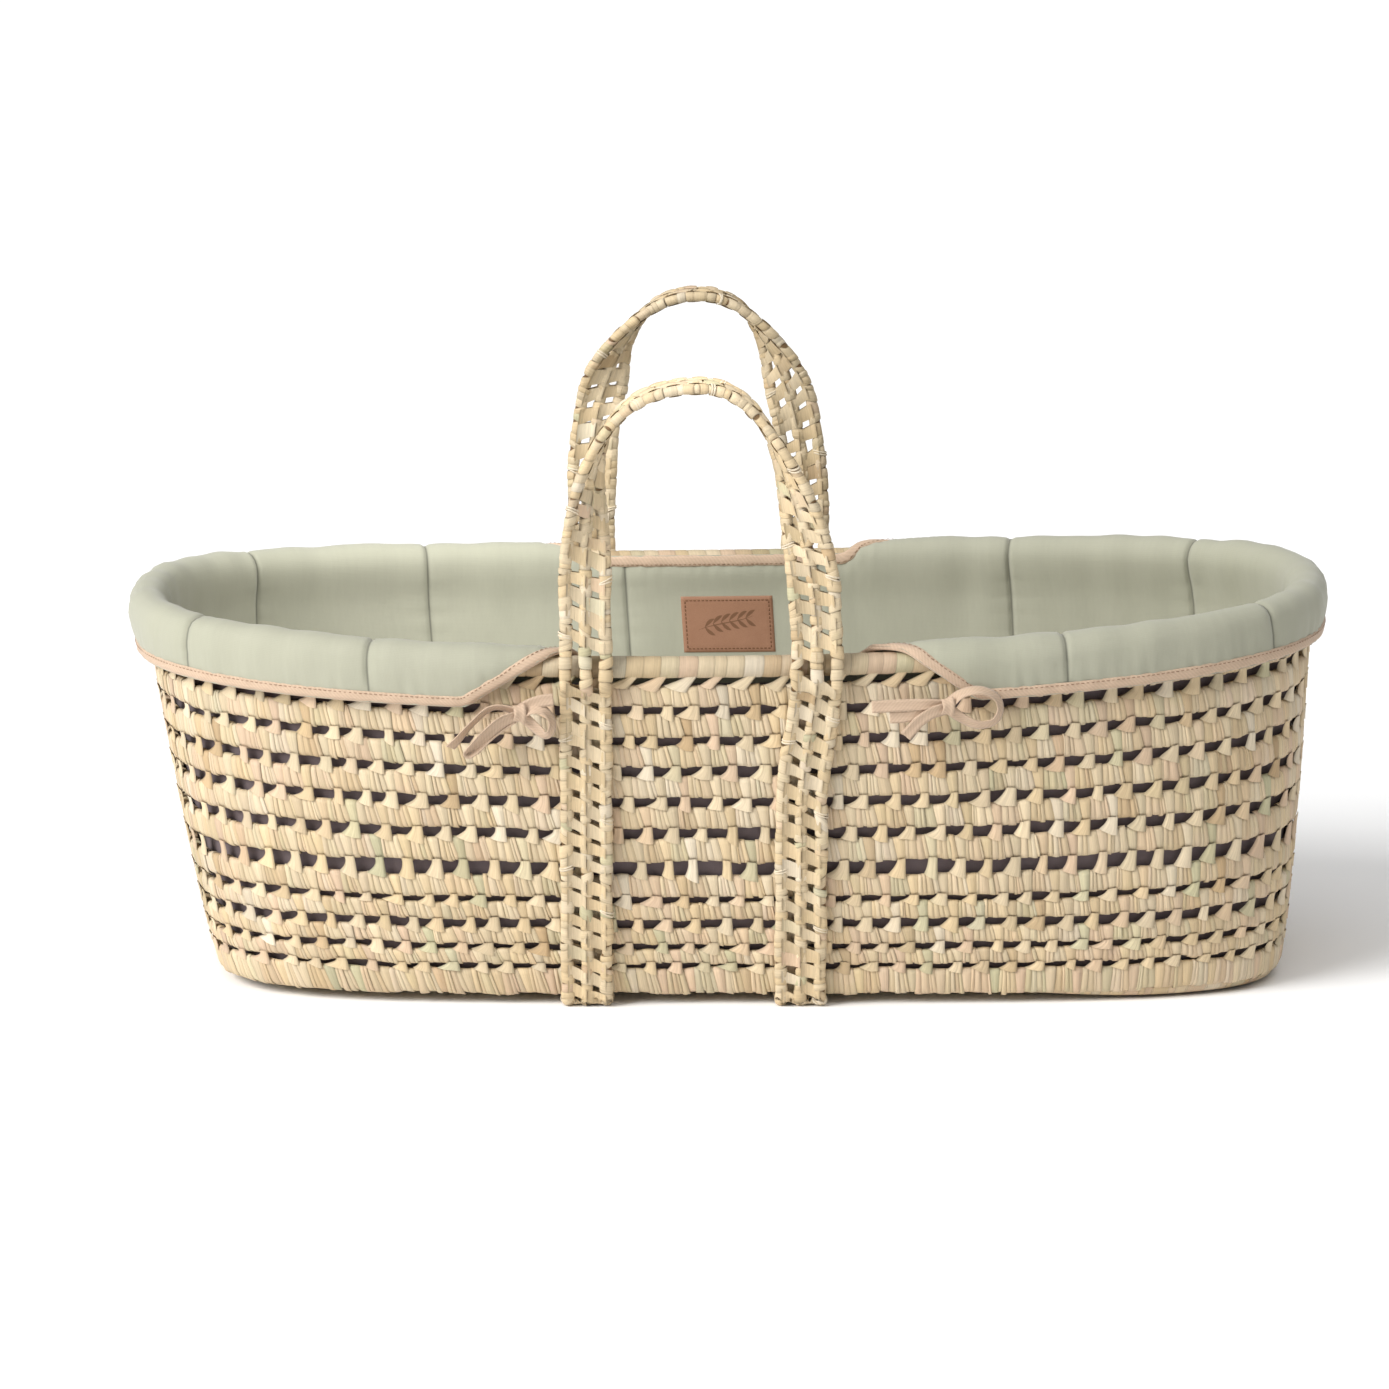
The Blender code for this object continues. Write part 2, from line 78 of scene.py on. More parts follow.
MATTRESS_Z0, MATTRESS_H = 0.0196, 0.0350
MATTRESS_A, MATTRESS_B, MATTRESS_N = 0.3700, 0.1465, 4.2
LABEL_W, LABEL_H = 0.0690, 0.0420
LABEL_X, LABEL_Z = -0.0010, 0.2070
PIPING_R = 0.0020

# ---------------------------------------------------------------- looks
CELLS = 100                        # leaf cells round each coil
LEG_TOP, LEG_FOOT = 0.0088, 0.0050 # width of a leg's leaf at its coil's top and bottom
BAND_MORE = (0.0, 0.0, 0.0, 0.0008, 0.0024, 0.0034, 0.0022, 0.0020, 0.0020, 0.0020, 0.0016)
BAND_H = tuple(h + more for h, more in zip(COIL_H, BAND_MORE))   # leaf bands are taller than their straw core
BASE_LAP = 0.0086                  # how far the lowest band's leaves reach down over the edge of the mat
PLEATS = 4                         # leaves between two legs
LEAF_OUT = 0.0038                  # leaf surface from the wall's middle
BIND_W = 0.0076
SEAM_X_FRONT = (-0.3745, -0.2508, -0.1250, 0.0500, 0.2319, 0.3744)
SEAM_X_BACK = (-0.3545, -0.2255, -0.0762, 0.0690, 0.2134, 0.3486)
ROUND = 2048                       # samples round the wall in the lookup table

rng = np.random.default_rng(7)


# ---------------------------------------------------------------- basket surface
def smooth(u):
    u = np.clip(u, 0.0, 1.0)
    return u * u * (3 - 2 * u)


def section(t):
    """Half length, half width and squareness of the wall at level t (0 floor, 1 rim)."""
    f = max(t, 0.0) ** FLARE
    return BASE_A + (RIM_A - BASE_A) * f, BASE_B + (RIM_B - BASE_B) * f, BASE_N + (RIM_N - BASE_N) * t


def height(x, t):
    rise = RISE * x + SADDLE * (x / RIM_A) ** 2
    return RIM_Z * t + np.maximum(t - FLOOR_T, 0.0) / (1 - FLOOR_T) * rise


def sag(x):
    return np.where(x > 0, SAG_HEAD, SAG_FOOT) * smooth((np.abs(x + 0.025) - 0.19) / 0.14)


def run_along(points):
    """Distance along a line of points, from 0."""
    return np.concatenate([[0], np.cumsum(np.linalg.norm(np.diff(points, axis=0), axis=1))])


def oval(a, b, n, count):
    """count + 1 points and outward normals at equal steps round a superellipse, from +X and back."""
    th = np.linspace(0, 2 * math.pi, 6001)
    c, s = np.cos(th), np.sin(th)
    x = np.sign(c) * np.abs(c) ** (2 / n) * a
    y = np.sign(s) * np.abs(s) ** (2 / n) * b
    run = run_along(np.stack([x, y], -1))
    want = np.linspace(0, run[-1], count + 1)
    px, py = np.interp(want, run, x), np.interp(want, run, y)
    nx = np.sign(px) * np.abs(px / a) ** (n - 1) / a
    ny = np.sign(py) * np.abs(py / b) ** (n - 1) / b
    m = np.hypot(nx, ny)
    return np.stack([px, py, nx / m, ny / m], -1)


LEVELS = 33
WALL_TABLE = np.stack([oval(*section(t), ROUND) for t in np.linspace(0, 1, LEVELS)])
RIM_ROUND = float(run_along(WALL_TABLE[-1, :, :2])[-1])


def wall(u, z, out):
    """Point at fraction u round the wall from +X, moved outwards; z is the height it has at mid length."""
    u, z, out = np.broadcast_arrays(u, z, out)
    t = np.clip(z / RIM_Z, 0.0, 1.0)
    i = np.minimum((t * (LEVELS - 1)).astype(int), LEVELS - 2)
    fi = (t * (LEVELS - 1) - i)[..., None]
    s = (u % 1.0) * ROUND
    j = np.minimum(s.astype(int), ROUND - 1)
    fj = (s - j)[..., None]
    low = WALL_TABLE[i, j] * (1 - fj) + WALL_TABLE[i, j + 1] * fj
    high = WALL_TABLE[i + 1, j] * (1 - fj) + WALL_TABLE[i + 1, j + 1] * fj
    p = low * (1 - fi) + high * fi
    x = p[..., 0] + p[..., 2] * out + BASE_SHIFT * (1 - t)
    y = p[..., 1] + p[..., 3] * out
    return np.stack([x, y, height(x, t) + z - t * RIM_Z], -1)


def rim_fraction(x, front):
    """Fraction round the rim at length x on the front or back side."""
    half = WALL_TABLE[-1][:ROUND // 2 + 1]
    u = np.interp(-np.asarray(x, float), -half[:, 0], np.arange(ROUND // 2 + 1) / ROUND)
    return 1 - u if front else u


def wave(u, amount, seed, low=4, high=40, count=7):
    """A smooth wander round the basket that closes on itself."""
    r = np.random.default_rng(seed)
    total = 0.0
    for _ in range(count):
        total = total + np.sin(2 * math.pi * (r.integers(low, high) * u + r.random()))
    return amount * total / math.sqrt(count)


# ---------------------------------------------------------------- meshes
def link(name, mesh, material):
    mesh.materials.append(material)
    mesh.shade_smooth()
    ob = bpy.data.objects.new(name, mesh)
    bpy.context.scene.collection.objects.link(ob)
    return ob


def raw_mesh(name, verts, quads):
    mesh = bpy.data.meshes.new(name)
    mesh.vertices.add(len(verts))
    mesh.vertices.foreach_set("co", np.asarray(verts, np.float32).ravel())
    mesh.loops.add(len(quads) * 4)
    mesh.loops.foreach_set("vertex_index", np.asarray(quads, np.int32).ravel())
    mesh.polygons.add(len(quads))
    mesh.polygons.foreach_set("loop_start", np.arange(len(quads), dtype=np.int32) * 4)
    mesh.update(calc_edges=True)
    mesh.validate()
    return mesh


def paint(mesh, tint, grain):
    """Per-point colour, painted shade included, and material coordinates: across and along in metres, and one
    number per leaf.
    """
    colour = mesh.attributes.new("tint", "FLOAT_COLOR", "POINT")
    opaque = np.concatenate([tint, np.ones((len(tint), 1))], 1)
    colour.data.foreach_set("color", opaque.astype(np.float32).ravel())
    fibre = mesh.attributes.new("grain", "FLOAT_VECTOR", "POINT")
    fibre.data.foreach_set("vector", grain.astype(np.float32).ravel())


def piece_of(name, verts, quads, material, cloth=None, tint=None):
    """A piece from points and quads, with cloth coordinates where its material reads them."""
    verts = np.asarray(verts).reshape(-1, 3)
    mesh = raw_mesh(name, verts, quads)
    if cloth is not None:
        paint(mesh, np.ones((len(verts), 3)) if tint is None else tint, cloth.reshape(-1, 3))
    return link(name, mesh, material)


def grid_quads(rows, cols, close_rows=False, close_cols=False):
    k = np.arange(rows if close_rows else rows - 1)[:, None]
    w = np.arange(cols if close_cols else cols - 1)[None]
    k2, w2 = (k + 1) % rows, (w + 1) % cols
    return np.stack([k * cols + w, k * cols + w2, k2 * cols + w2, k2 * cols + w], -1).reshape(-1, 4)


class Leaves:
    """Leaf strips gathered as point grids (strips, along, across, 3) in a piece's own coordinates."""

    def __init__(self, place):
        self.place = place
        self.verts, self.quads, self.tints, self.grains = [], [], [], []
        self.count = 0

    def add(self, a, b, c, tint, long, wide, shade=0.0):
        """a, b and c are (N, K, W) arrays for the placing function; tint is (N, 3); long and wide in metres.
        shade is painted shade: it darkens each strip's two long edges, where the next leaf tucks under it."""
        a, b, c = np.broadcast_arrays(a, b, c)
        n, k, w = a.shape
        points = self.place(a, b, c).reshape(-1, 3)
        quads = grid_quads(k, w)[None] + (np.arange(n) * k * w)[:, None, None] + self.count
        mark = rng.random((n, 1, 1)) * np.ones((n, k, w))
        shares = ACROSS if w == len(ACROSS) else np.linspace(0, 1, w)
        across = shares[None, None] * np.reshape(wide, (-1, 1, 1)) * np.ones((n, k, w))
        # painted shade: the strip's tint is darkened towards its two long edges
        edge = 1 - shade * np.abs(2 * shares - 1) ** 10 * np.ones((n, k, w))
        along = np.linspace(0, 1, k)[None, :, None] * np.reshape(long, (-1, 1, 1)) * np.ones((n, k, w))
        self.verts.append(points)
        self.quads.append(quads.reshape(-1, 4))
        self.tints.append(np.repeat(tint, k * w, axis=0) * edge.reshape(-1, 1))
        self.grains.append(np.stack([across + mark * 3.1, along + mark * 1.7, mark], -1).reshape(-1, 3))
        self.count += n * k * w

    def make(self, name, material):
        mesh = raw_mesh(name, np.concatenate(self.verts), np.concatenate(self.quads))
        paint(mesh, np.concatenate(self.tints), np.concatenate(self.grains))
        return link(name, mesh, material)


# ---------------------------------------------------------------- colours
def linear(r, g, b):
    c = np.array((r, g, b), float) / 255
    return np.where(c <= 0.04045, c / 12.92, ((c + 0.055) / 1.055) ** 2.4)


LEAF_TONE = np.array((0.755, 0.735, 0.71))
LEAF_COLOURS = LEAF_TONE * np.stack([
    linear(235, 217, 184),         # cream
    linear(233, 210, 170),         # straw
    linear(232, 205, 176),         # peach
    linear(213, 208, 172),         # pale green
    linear(210, 182, 142),         # tan
    linear(243, 230, 206),         # bleached
])
LEAF_SHARES = (0.38, 0.25, 0.17, 0.06, 0.06, 0.08)
BELT_SHARES = (0.47, 0.38, 0.03, 0.03, 0.02, 0.07)
# straw core, coloured darker than the leaves as painted shade in the gaps between them
CORE_AND_GAP_SHADE_COLOUR = linear(116, 88, 58)
TWINE_COLOUR = linear(216, 202, 178)


def leaf_tints(count, shares=LEAF_SHARES, spread=0.065):
    picked = LEAF_COLOURS[rng.choice(len(LEAF_COLOURS), count, p=shares)]
    blend = LEAF_COLOURS[rng.choice(len(LEAF_COLOURS), count, p=shares)]
    mix = rng.random((count, 1)) * 0.45
    return (picked * (1 - mix) + blend * mix) * (1 + rng.normal(0, spread, (count, 1)))


# ---------------------------------------------------------------- material building blocks
class Graph:
    """Short-hand for one material's node tree."""

    def __init__(self, name, roughness=0.6, specular=0.4):
        self.material = bpy.data.materials.new(name)
        self.material.use_nodes = True
        self.tree = self.material.node_tree
        self.shader = self.tree.nodes["Principled BSDF"]
        self.shader.inputs["Roughness"].default_value = roughness
        self.shader.inputs["Specular IOR Level"].default_value = specular

    def node(self, kind, settings=None, **inputs):
        made = self.tree.nodes.new(kind)
        for key, value in (settings or {}).items():
            setattr(made, key, value)
        for key, value in inputs.items():
            name = int(key[1:]) if key[0] == "i" and key[1:].isdigit() else key.replace("_", " ")
            socket = made.inputs[name]
            if isinstance(value, bpy.types.NodeSocket):
                self.tree.links.new(value, socket)
            else:
                socket.default_value = value
        return made

    def attribute(self, name):
        return self.node("ShaderNodeAttribute", {"attribute_name": name})

    def scaled(self, vector, factors):
        return self.node("ShaderNodeVectorMath", {"operation": "MULTIPLY"}, i0=vector, i1=factors).outputs[0]

    def noise(self, vector, scale, detail=3.0, rough=0.6):
        return self.node("ShaderNodeTexNoise", None, Vector=vector, Scale=scale, Detail=detail,
                         Roughness=rough).outputs["Fac"]

    def wave(self, vector, direction, scale, distortion=0.0, detail=2.0):
        return self.node("ShaderNodeTexWave", {"bands_direction": direction}, Vector=vector, Scale=scale,
                         Distortion=distortion, Detail=detail).outputs["Fac"]

    def ranged(self, value, low, high, to_low, to_high):
        return self.node("ShaderNodeMapRange", None, Value=value, From_Min=low, From_Max=high,
                         To_Min=to_low, To_Max=to_high).outputs["Result"]

    def math(self, operation, a, b):
        return self.node("ShaderNodeMath", {"operation": operation}, i0=a, i1=b).outputs[0]

    def shade(self, colour, factor):
        """colour times a grey factor."""
        return self.node("ShaderNodeVectorMath", {"operation": "SCALE"}, i0=colour, Scale=factor).outputs[0]

    def mix(self, factor, a, b):
        made = self.node("ShaderNodeMix", {"data_type": "RGBA"}, i0=factor)
        for index, value in ((6, a), (7, b)):
            if isinstance(value, bpy.types.NodeSocket):
                self.tree.links.new(value, made.inputs[index])
            else:
                made.inputs[index].default_value = (*value, 1)
        return made.outputs[2]

    def bump(self, heightmap, strength, distance, normal=None):
        made = self.node("ShaderNodeBump", None, Height=heightmap, Strength=strength, Distance=distance)
        if normal is not None:
            self.tree.links.new(normal, made.inputs["Normal"])
        return made.outputs["Normal"]

    def colour(self, socket):
        self.tree.links.new(socket, self.shader.inputs["Base Color"])

    def normal(self, socket):
        self.tree.links.new(socket, self.shader.inputs["Normal"])

    def rough(self, socket):
        self.tree.links.new(socket, self.shader.inputs["Roughness"])

    def place(self):
        return self.node("ShaderNodeTexCoord").outputs["Object"]


def palm_leaf(name="palm_leaf"):
    """Dried palm leaf: fine fibres along each strip, blotches, and a dull wax sheen."""
    g = Graph(name, 0.6, 0.35)
    grain = g.attribute("grain").outputs["Vector"]
    fibre = g.noise(g.scaled(grain, (1900.0, 45.0, 40.0)), 1.0, 4.0, 0.65)
    ridge = g.noise(g.scaled(grain, (620.0, 20.0, 25.0)), 1.0, 2.0)
    blotch = g.noise(g.place(), 38.0, 4.0, 0.6)
    speck = g.noise(g.scaled(grain, (300.0, 160.0, 70.0)), 1.0, 5.0, 0.7)
    # tint holds each leaf's colour with painted shade on its long edges, and the dark core colour
    tint = g.attribute("tint").outputs["Color"]
    toned = g.shade(tint, g.ranged(fibre, 0.3, 0.7, 0.84, 1.08))
    toned = g.shade(toned, g.ranged(ridge, 0.35, 0.65, 0.97, 1.02))
    toned = g.mix(g.ranged(blotch, 0.55, 0.80, 0.0, 0.22), toned, linear(196, 186, 132))
    toned = g.mix(g.ranged(speck, 0.66, 0.80, 0.0, 0.45), toned, linear(176, 138, 92))
    g.colour(toned)
    g.rough(g.ranged(ridge, 0.3, 0.7, 0.50, 0.72))
    g.normal(g.bump(fibre, 0.35, 0.0004, g.bump(ridge, 0.5, 0.0007)))
    return g.material


def cotton(name, colour, fade, thread=0.0005, sheen=0.25):
    """Plain-woven cotton on cloth coordinates in the grain attribute."""
    g = Graph(name, 0.85, 0.2)
    cloth = g.attribute("grain").outputs["Vector"]
    turns = 1.0 / thread
    across = g.wave(g.scaled(cloth, (turns, 0.0, 0.0)), "X", 0.159)
    along = g.wave(g.scaled(cloth, (0.0, turns, 0.0)), "Y", 0.159)
    threads = g.math("MAXIMUM", across, along)
    slub = g.noise(g.scaled(cloth, (260.0, 40.0, 1.0)), 1.0, 4.0, 0.6)
    cloud = g.noise(g.place(), 9.0, 3.0, 0.5)
    toned = g.mix(g.ranged(cloud, 0.35, 0.70, 0.0, 0.5), colour, fade)
    toned = g.shade(toned, g.ranged(threads, 0.0, 1.0, 0.955, 1.015))
    toned = g.shade(toned, g.ranged(slub, 0.3, 0.7, 0.975, 1.02))
    # tint holds painted shade along the liner's seams; on the other cotton pieces it is white
    g.colour(g.scaled(toned, g.attribute("tint").outputs["Color"]))
    g.rough(g.ranged(slub, 0.3, 0.7, 0.80, 0.92))
    g.normal(g.bump(threads, 0.25, 0.00015, g.bump(g.noise(g.place(), 70.0, 3.0), 0.12, 0.0012)))
    g.shader.inputs["Sheen Weight"].default_value = sheen
    g.shader.inputs["Sheen Roughness"].default_value = 0.5
    return g.material


def tape_cloth(name, colour, fade):
    """Twill tape: slanting ribs on cloth coordinates, a little faded in patches."""
    g = Graph(name, 0.82, 0.2)
    cloth = g.attribute("grain").outputs["Vector"]
    rib = g.wave(g.scaled(cloth, (1400.0, 1400.0, 0.0)), "DIAGONAL", 0.16, 0.4, 1.0)
    slub = g.noise(g.scaled(cloth, (120.0, 900.0, 1.0)), 1.0, 3.0)
    toned = g.mix(g.ranged(slub, 0.3, 0.75, 0.0, 1.0), colour, fade)
    toned = g.shade(toned, g.ranged(rib, 0.0, 1.0, 0.93, 1.03))
    g.colour(toned)
    g.rough(g.ranged(slub, 0.3, 0.7, 0.76, 0.90))
    g.normal(g.bump(rib, 0.35, 0.0002, g.bump(slub, 0.2, 0.0004)))
    g.shader.inputs["Sheen Weight"].default_value = 0.2
    return g.material


def leather(name, colour, deep):
    """Tan leather-like patch with fine pores."""
    g = Graph(name, 0.62, 0.35)
    here = g.place()
    cells = g.node("ShaderNodeTexVoronoi", {"feature": "DISTANCE_TO_EDGE"}, Vector=here, Scale=900.0)
    pores = cells.outputs[0]
    cloud = g.noise(here, 60.0, 4.0, 0.65)
    toned = g.mix(g.ranged(cloud, 0.3, 0.75, 0.0, 0.6), colour, deep)
    toned = g.shade(toned, g.ranged(pores, 0.0, 0.12, 0.90, 1.0))
    g.colour(toned)
    g.rough(g.ranged(cloud, 0.3, 0.7, 0.50, 0.72))
    g.normal(g.bump(pores, 0.3, 0.0002))
    return g.material


def thread(name, colour, fade):
    """Sewing thread or raffia twine with a fine twist."""
    g = Graph(name, 0.7, 0.3)
    here = g.place()
    twist = g.wave(here, "DIAGONAL", 420.0, 2.0, 2.0)
    fuzz = g.noise(here, 600.0, 3.0)
    toned = g.mix(g.ranged(twist, 0.0, 1.0, 0.0, 0.7), colour, fade)
    g.colour(g.shade(toned, g.ranged(fuzz, 0.3, 0.7, 0.93, 1.05)))
    g.rough(g.ranged(fuzz, 0.3, 0.7, 0.6, 0.85))
    g.normal(g.bump(twist, 0.5, 0.0003))
    return g.material


# ---------------------------------------------------------------- woven wall
ACROSS = np.array((0.0, 0.10, 0.5, 0.90, 1.0))
ARC = np.radians((-118.0, -84.0, -52.0, -20.0, 20.0, 52.0, 84.0, 118.0))


def leg_places(row):
    """Right edge of every leg of a row, as fractions round the wall; rows are half a cell apart."""
    i = np.arange(CELLS)
    shift = 0.5 * (row % 2) + 0.09 * math.sin(1.7 * row)
    return (i + shift + rng.normal(0, 0.06, CELLS)) / CELLS


LEGS = [leg_places(row) for row in range(len(COIL_Z) + 1)]
LEG_TINTS = [leaf_tints(CELLS) for _ in LEGS]


def band_middle(row, u):
    return COIL_Z[row] + wave(u, 0.0006, 100 + row) + wave(u, 0.0003, 200 + row, 40, 160)


def rounded(arc, power=0.62):
    """Cosine and sine of a rounded-square section."""
    c, s = np.cos(arc), np.sin(arc)
    return np.sign(c) * np.abs(c) ** power, np.sign(s) * np.abs(s) ** power


def crowned(n, crown=0.00030, drop=0.00100, lift=0.0013):
    """Height of a strip above its bed across its width: a crown, turned-down edges and one edge lifted."""
    edge = np.abs(2 * ACROSS - 1)
    slope = rng.uniform(-0.3, 1.0, (n, 1, 1)) * lift
    return crown * (1 - edge ** 2) - drop * edge ** 8 + slope * (ACROSS - 0.5)


def wrap_band(leaves, row, left_top, right_top, left_low, right_low, tints, proud=0.0):
    """Strips over one coil; the edges are fractions round the wall at its top and bottom."""
    n = len(left_top)
    cos, sin = rounded(ARC)
    half = BAND_H[row] / 2 + rng.normal(0, 0.00035, (n, 1, 1))
    v = ((np.clip(sin, -1, 1) + 1) / 2)[None, :, None]
    left = left_low[:, None, None] * (1 - v) + left_top[:, None, None] * v
    right = right_low[:, None, None] * (1 - v) + right_top[:, None, None] * v
    u = left + (right - left) * ACROSS
    bed = rng.normal(0, 0.00016, (n, 1, 1)) + proud
    out = LEAF_OUT * cos[None, :, None] + (bed + crowned(n)) * np.sign(cos)[None, :, None]
    z = band_middle(row, u) + half * sin[None, :, None]
    if row == 0:
        z = z - (BASE_LAP + rng.normal(0, 0.0005, (n, 1, 1))) * (1 - v)
    leaves.add(u, z, out, tints, COIL_H[row] * 1.9, np.abs(right_low - left_low) * RIM_ROUND, 0.55)


def coil_body(leaves, row):
    """The straw bundle that the leaves wrap, coloured dark as painted shade in the gaps between them."""
    steps = 220
    arc = np.linspace(-math.pi, math.pi, 9)
    cos, sin = rounded(arc)
    u = np.linspace(0, 1, steps + 1)
    z = band_middle(row, u)[None, None, :] + (COIL_H[row] / 2 - 0.0009) * sin[None, :, None]
    out = (LEAF_OUT - 0.0009) * cos[None, :, None] * np.ones(steps + 1)
    leaves.add(u[None, None, :] * np.ones((1, 9, 1)), z, out, CORE_AND_GAP_SHADE_COLOUR[None], 0.03, RIM_ROUND)


def coil_leaves(leaves, row):
    """Legs and the pleated fans between them."""
    legs = np.sort(LEGS[row])
    top, foot = LEG_TOP / RIM_ROUND, LEG_FOOT / RIM_ROUND
    lap = 0.0006 / RIM_ROUND
    right = np.roll(legs, -1) + np.where(np.arange(CELLS) == CELLS - 1, 1.0, 0.0)
    cuts = np.cumsum(rng.dirichlet(np.full(PLEATS, 5.0), CELLS), axis=1)[:, :-1]
    cuts = np.concatenate([np.zeros((CELLS, 1)), cuts, np.ones((CELLS, 1))], axis=1)
    high = legs[:, None] + (right - top - legs)[:, None] * cuts
    low = legs[:, None] + (right - foot - legs)[:, None] * cuts
    fan = leaf_tints(CELLS)
    for k in range(PLEATS):
        mixed = fan * 0.6 + leaf_tints(CELLS) * 0.4
        wrap_band(leaves, row, high[:, k] - lap, high[:, k + 1] + lap,
                  low[:, k] - lap, low[:, k + 1] + lap, mixed)
    wrap_band(leaves, row, legs - top - lap, legs + lap,
              legs - foot - lap, legs + lap, LEG_TINTS[row], 0.00015)


def posts(leaves, row, lean=0.0):
    """The legs of the row above, hanging over the gap, each with a foot round this coil's top edge."""
    legs = LEGS[row + 1]
    n = len(legs)
    rows, cols = 8, 7
    v = np.linspace(0, 1, rows)[None, :, None]
    w = np.linspace(0, 1, cols)[None, None, :]
    knot = 0.0062 + rng.normal(0, 0.0006, (n, 1, 1))
    flare = 0.0066 + rng.normal(0, 0.0022, (n, 1, 1))
    width = knot + flare * (1 - v) ** rng.uniform(1.5, 2.6, (n, 1, 1)) + 0.0008 * v
    edge = legs[:, None, None] * RIM_ROUND + 0.0004 + lean * v + rng.normal(0, 0.0003, (n, 1, 1))
    u = (edge - width * (1 - w)) / RIM_ROUND
    if row + 1 < len(COIL_Z):
        high = band_middle(row + 1, u) - BAND_H[row + 1] / 2 + 0.0017
    else:
        high = RIM_Z - RIM_R + 0.0022
    low = band_middle(row, u) + BAND_H[row] / 2
    tip = rng.normal(0.0004, 0.0004, (n, 1, 1))
    heel = rng.normal(-0.0034, 0.0008, (n, 1, 1))
    foot = low + tip + (heel - tip) * w ** 0.8 - 0.0007 * np.sin(math.pi * w)
    z = foot + (high - foot) * v
    mid = 1 - (2 * v - 1) ** 2
    out = LEAF_OUT + 0.0009 - 0.0007 * mid * (1 - w) - 0.0012 * (1 - v) * (1 - w) ** 2
    out = out - 0.0012 * np.abs(2 * w - 1) ** 6 * (0.35 + 0.65 * mid)
    fold = 0.00022 * np.sin(w * rng.uniform(9, 17, (n, 1, 1)) + rng.uniform(0, 6, (n, 1, 1)))
    leaves.add(u, z, out + fold, LEG_TINTS[row + 1] * 1.04, 0.012, 0.012, 0.42)


def wall_rows(leaf):
    pieces = []
    for row in range(len(COIL_Z)):
        leaves = Leaves(wall)
        coil_body(leaves, row)
        coil_leaves(leaves, row)
        posts(leaves, row, 0.0085 if row == len(COIL_Z) - 1 else 0.0)
        piece = leaves.make("woven_coil_%02d" % (row + 1), leaf)
        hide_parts("wall_coil_%02d" % (row + 1))
        pieces.append(piece)
    return pieces


def rim_wraps(leaf):
    """The rim rod and the leaves wound round it."""
    leaves = Leaves(lambda u, arc, r: wall(u, RIM_Z + r * np.sin(arc), r * np.cos(arc)))
    ends = np.cumsum(rng.uniform(0.008, 0.014, 400))
    ends = ends[ends < RIM_ROUND - 0.004] / RIM_ROUND
    starts = np.concatenate([[0.0], ends[:-1]])
    n = len(starts)
    arc = np.linspace(-math.pi, math.pi, 15)[None, :, None]
    lap = 0.0005 / RIM_ROUND
    lean = 0.0015 / RIM_ROUND * np.sin(arc + 0.8)
    u = (starts - lap)[:, None, None] + (ends - starts + 2 * lap)[:, None, None] * ACROSS + lean
    r = RIM_R - 0.0002 + crowned(n, 0.0001, 0.00035, 0.0003) + 0 * arc
    leaves.add(u, arc + 0 * u, r, leaf_tints(n, spread=0.04) * 0.86, 0.05, (ends - starts) * RIM_ROUND, 0.45)
    # the rod's core, in the dark core colour: painted shade between the wraps
    core = np.linspace(0, 1, 161)[None, None, :]
    core_r = RIM_R - 0.0009 + 0 * arc * core
    leaves.add(core + 0 * arc, arc + 0 * core, core_r, CORE_AND_GAP_SHADE_COLOUR[None], 0.05, RIM_ROUND)
    piece = leaves.make("wrapped_rim", leaf)
    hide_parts("rim_hoop")
    return piece


# ---------------------------------------------------------------- base
RING_W = 0.0170


def base_table():
    """Rings of the base mat, from the edge to the middle: points and outward normals."""
    a, b, n = section((MAT_Z0 + MAT_T) / RIM_Z)
    rings = int((b + WALL_T / 2) / RING_W)
    out = []
    for i in range(rings):
        inset = RING_W * (i + 0.5) - WALL_T / 2
        share = i / max(rings - 1, 1)
        out.append(oval(a - inset, b - inset, n + (2.2 - n) * share, ROUND))
    return np.stack(out)


def base_rings(leaf):
    """Underside of the woven mat: oval coils, each wrapped crosswise."""
    table = base_table()
    middle = MAT_Z0 + MAT_T / 2

    def place(u, ring, arc):
        cos, sin = rounded(arc, 0.95)
        j = np.minimum(((u % 1.0) * ROUND).astype(int), ROUND - 1)
        p = table[ring.astype(int), j]
        side = RING_W / 2 * cos - np.where(ring < 0.5, 0.0048, 0.0)
        x = p[..., 0] + p[..., 2] * side + BASE_SHIFT
        y = p[..., 1] + p[..., 3] * side
        drop = sag(x) * (1 - sin) / 2
        return np.stack([x, y, middle + MAT_T / 2 * sin - drop], -1)

    leaves = Leaves(place)
    arc = np.radians(np.linspace(100, -250, 15))[None, ::-1, None]
    for ring in range(len(table)):
        around = float(run_along(table[ring, :, :2])[-1])
        n = max(int(around / (0.0062 if ring == 0 else 0.0072)), 12)
        cuts = np.cumsum(rng.dirichlet(np.full(n, 4.0)))
        starts = np.concatenate([[0.0], cuts[:-1]])
        u = starts[:, None, None] + (cuts - starts)[:, None, None] * (1.12 * ACROSS - 0.06) + 0 * arc
        twist = 0.0012 / around * np.sin(arc)
        leaves.add(u + twist, ring + 0 * u, arc + 0 * u, leaf_tints(n), 0.03, 0.0075, 0.35)
    piece = leaves.make("woven_base", leaf)
    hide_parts("base_mat")
    return piece


# ---------------------------------------------------------------- straps and handles
CORD_W, CORD_T = 0.0094, 0.0072
CORD_Q = (STRAP_W - CORD_W) / 2
FLARE_STEP = 0.0145


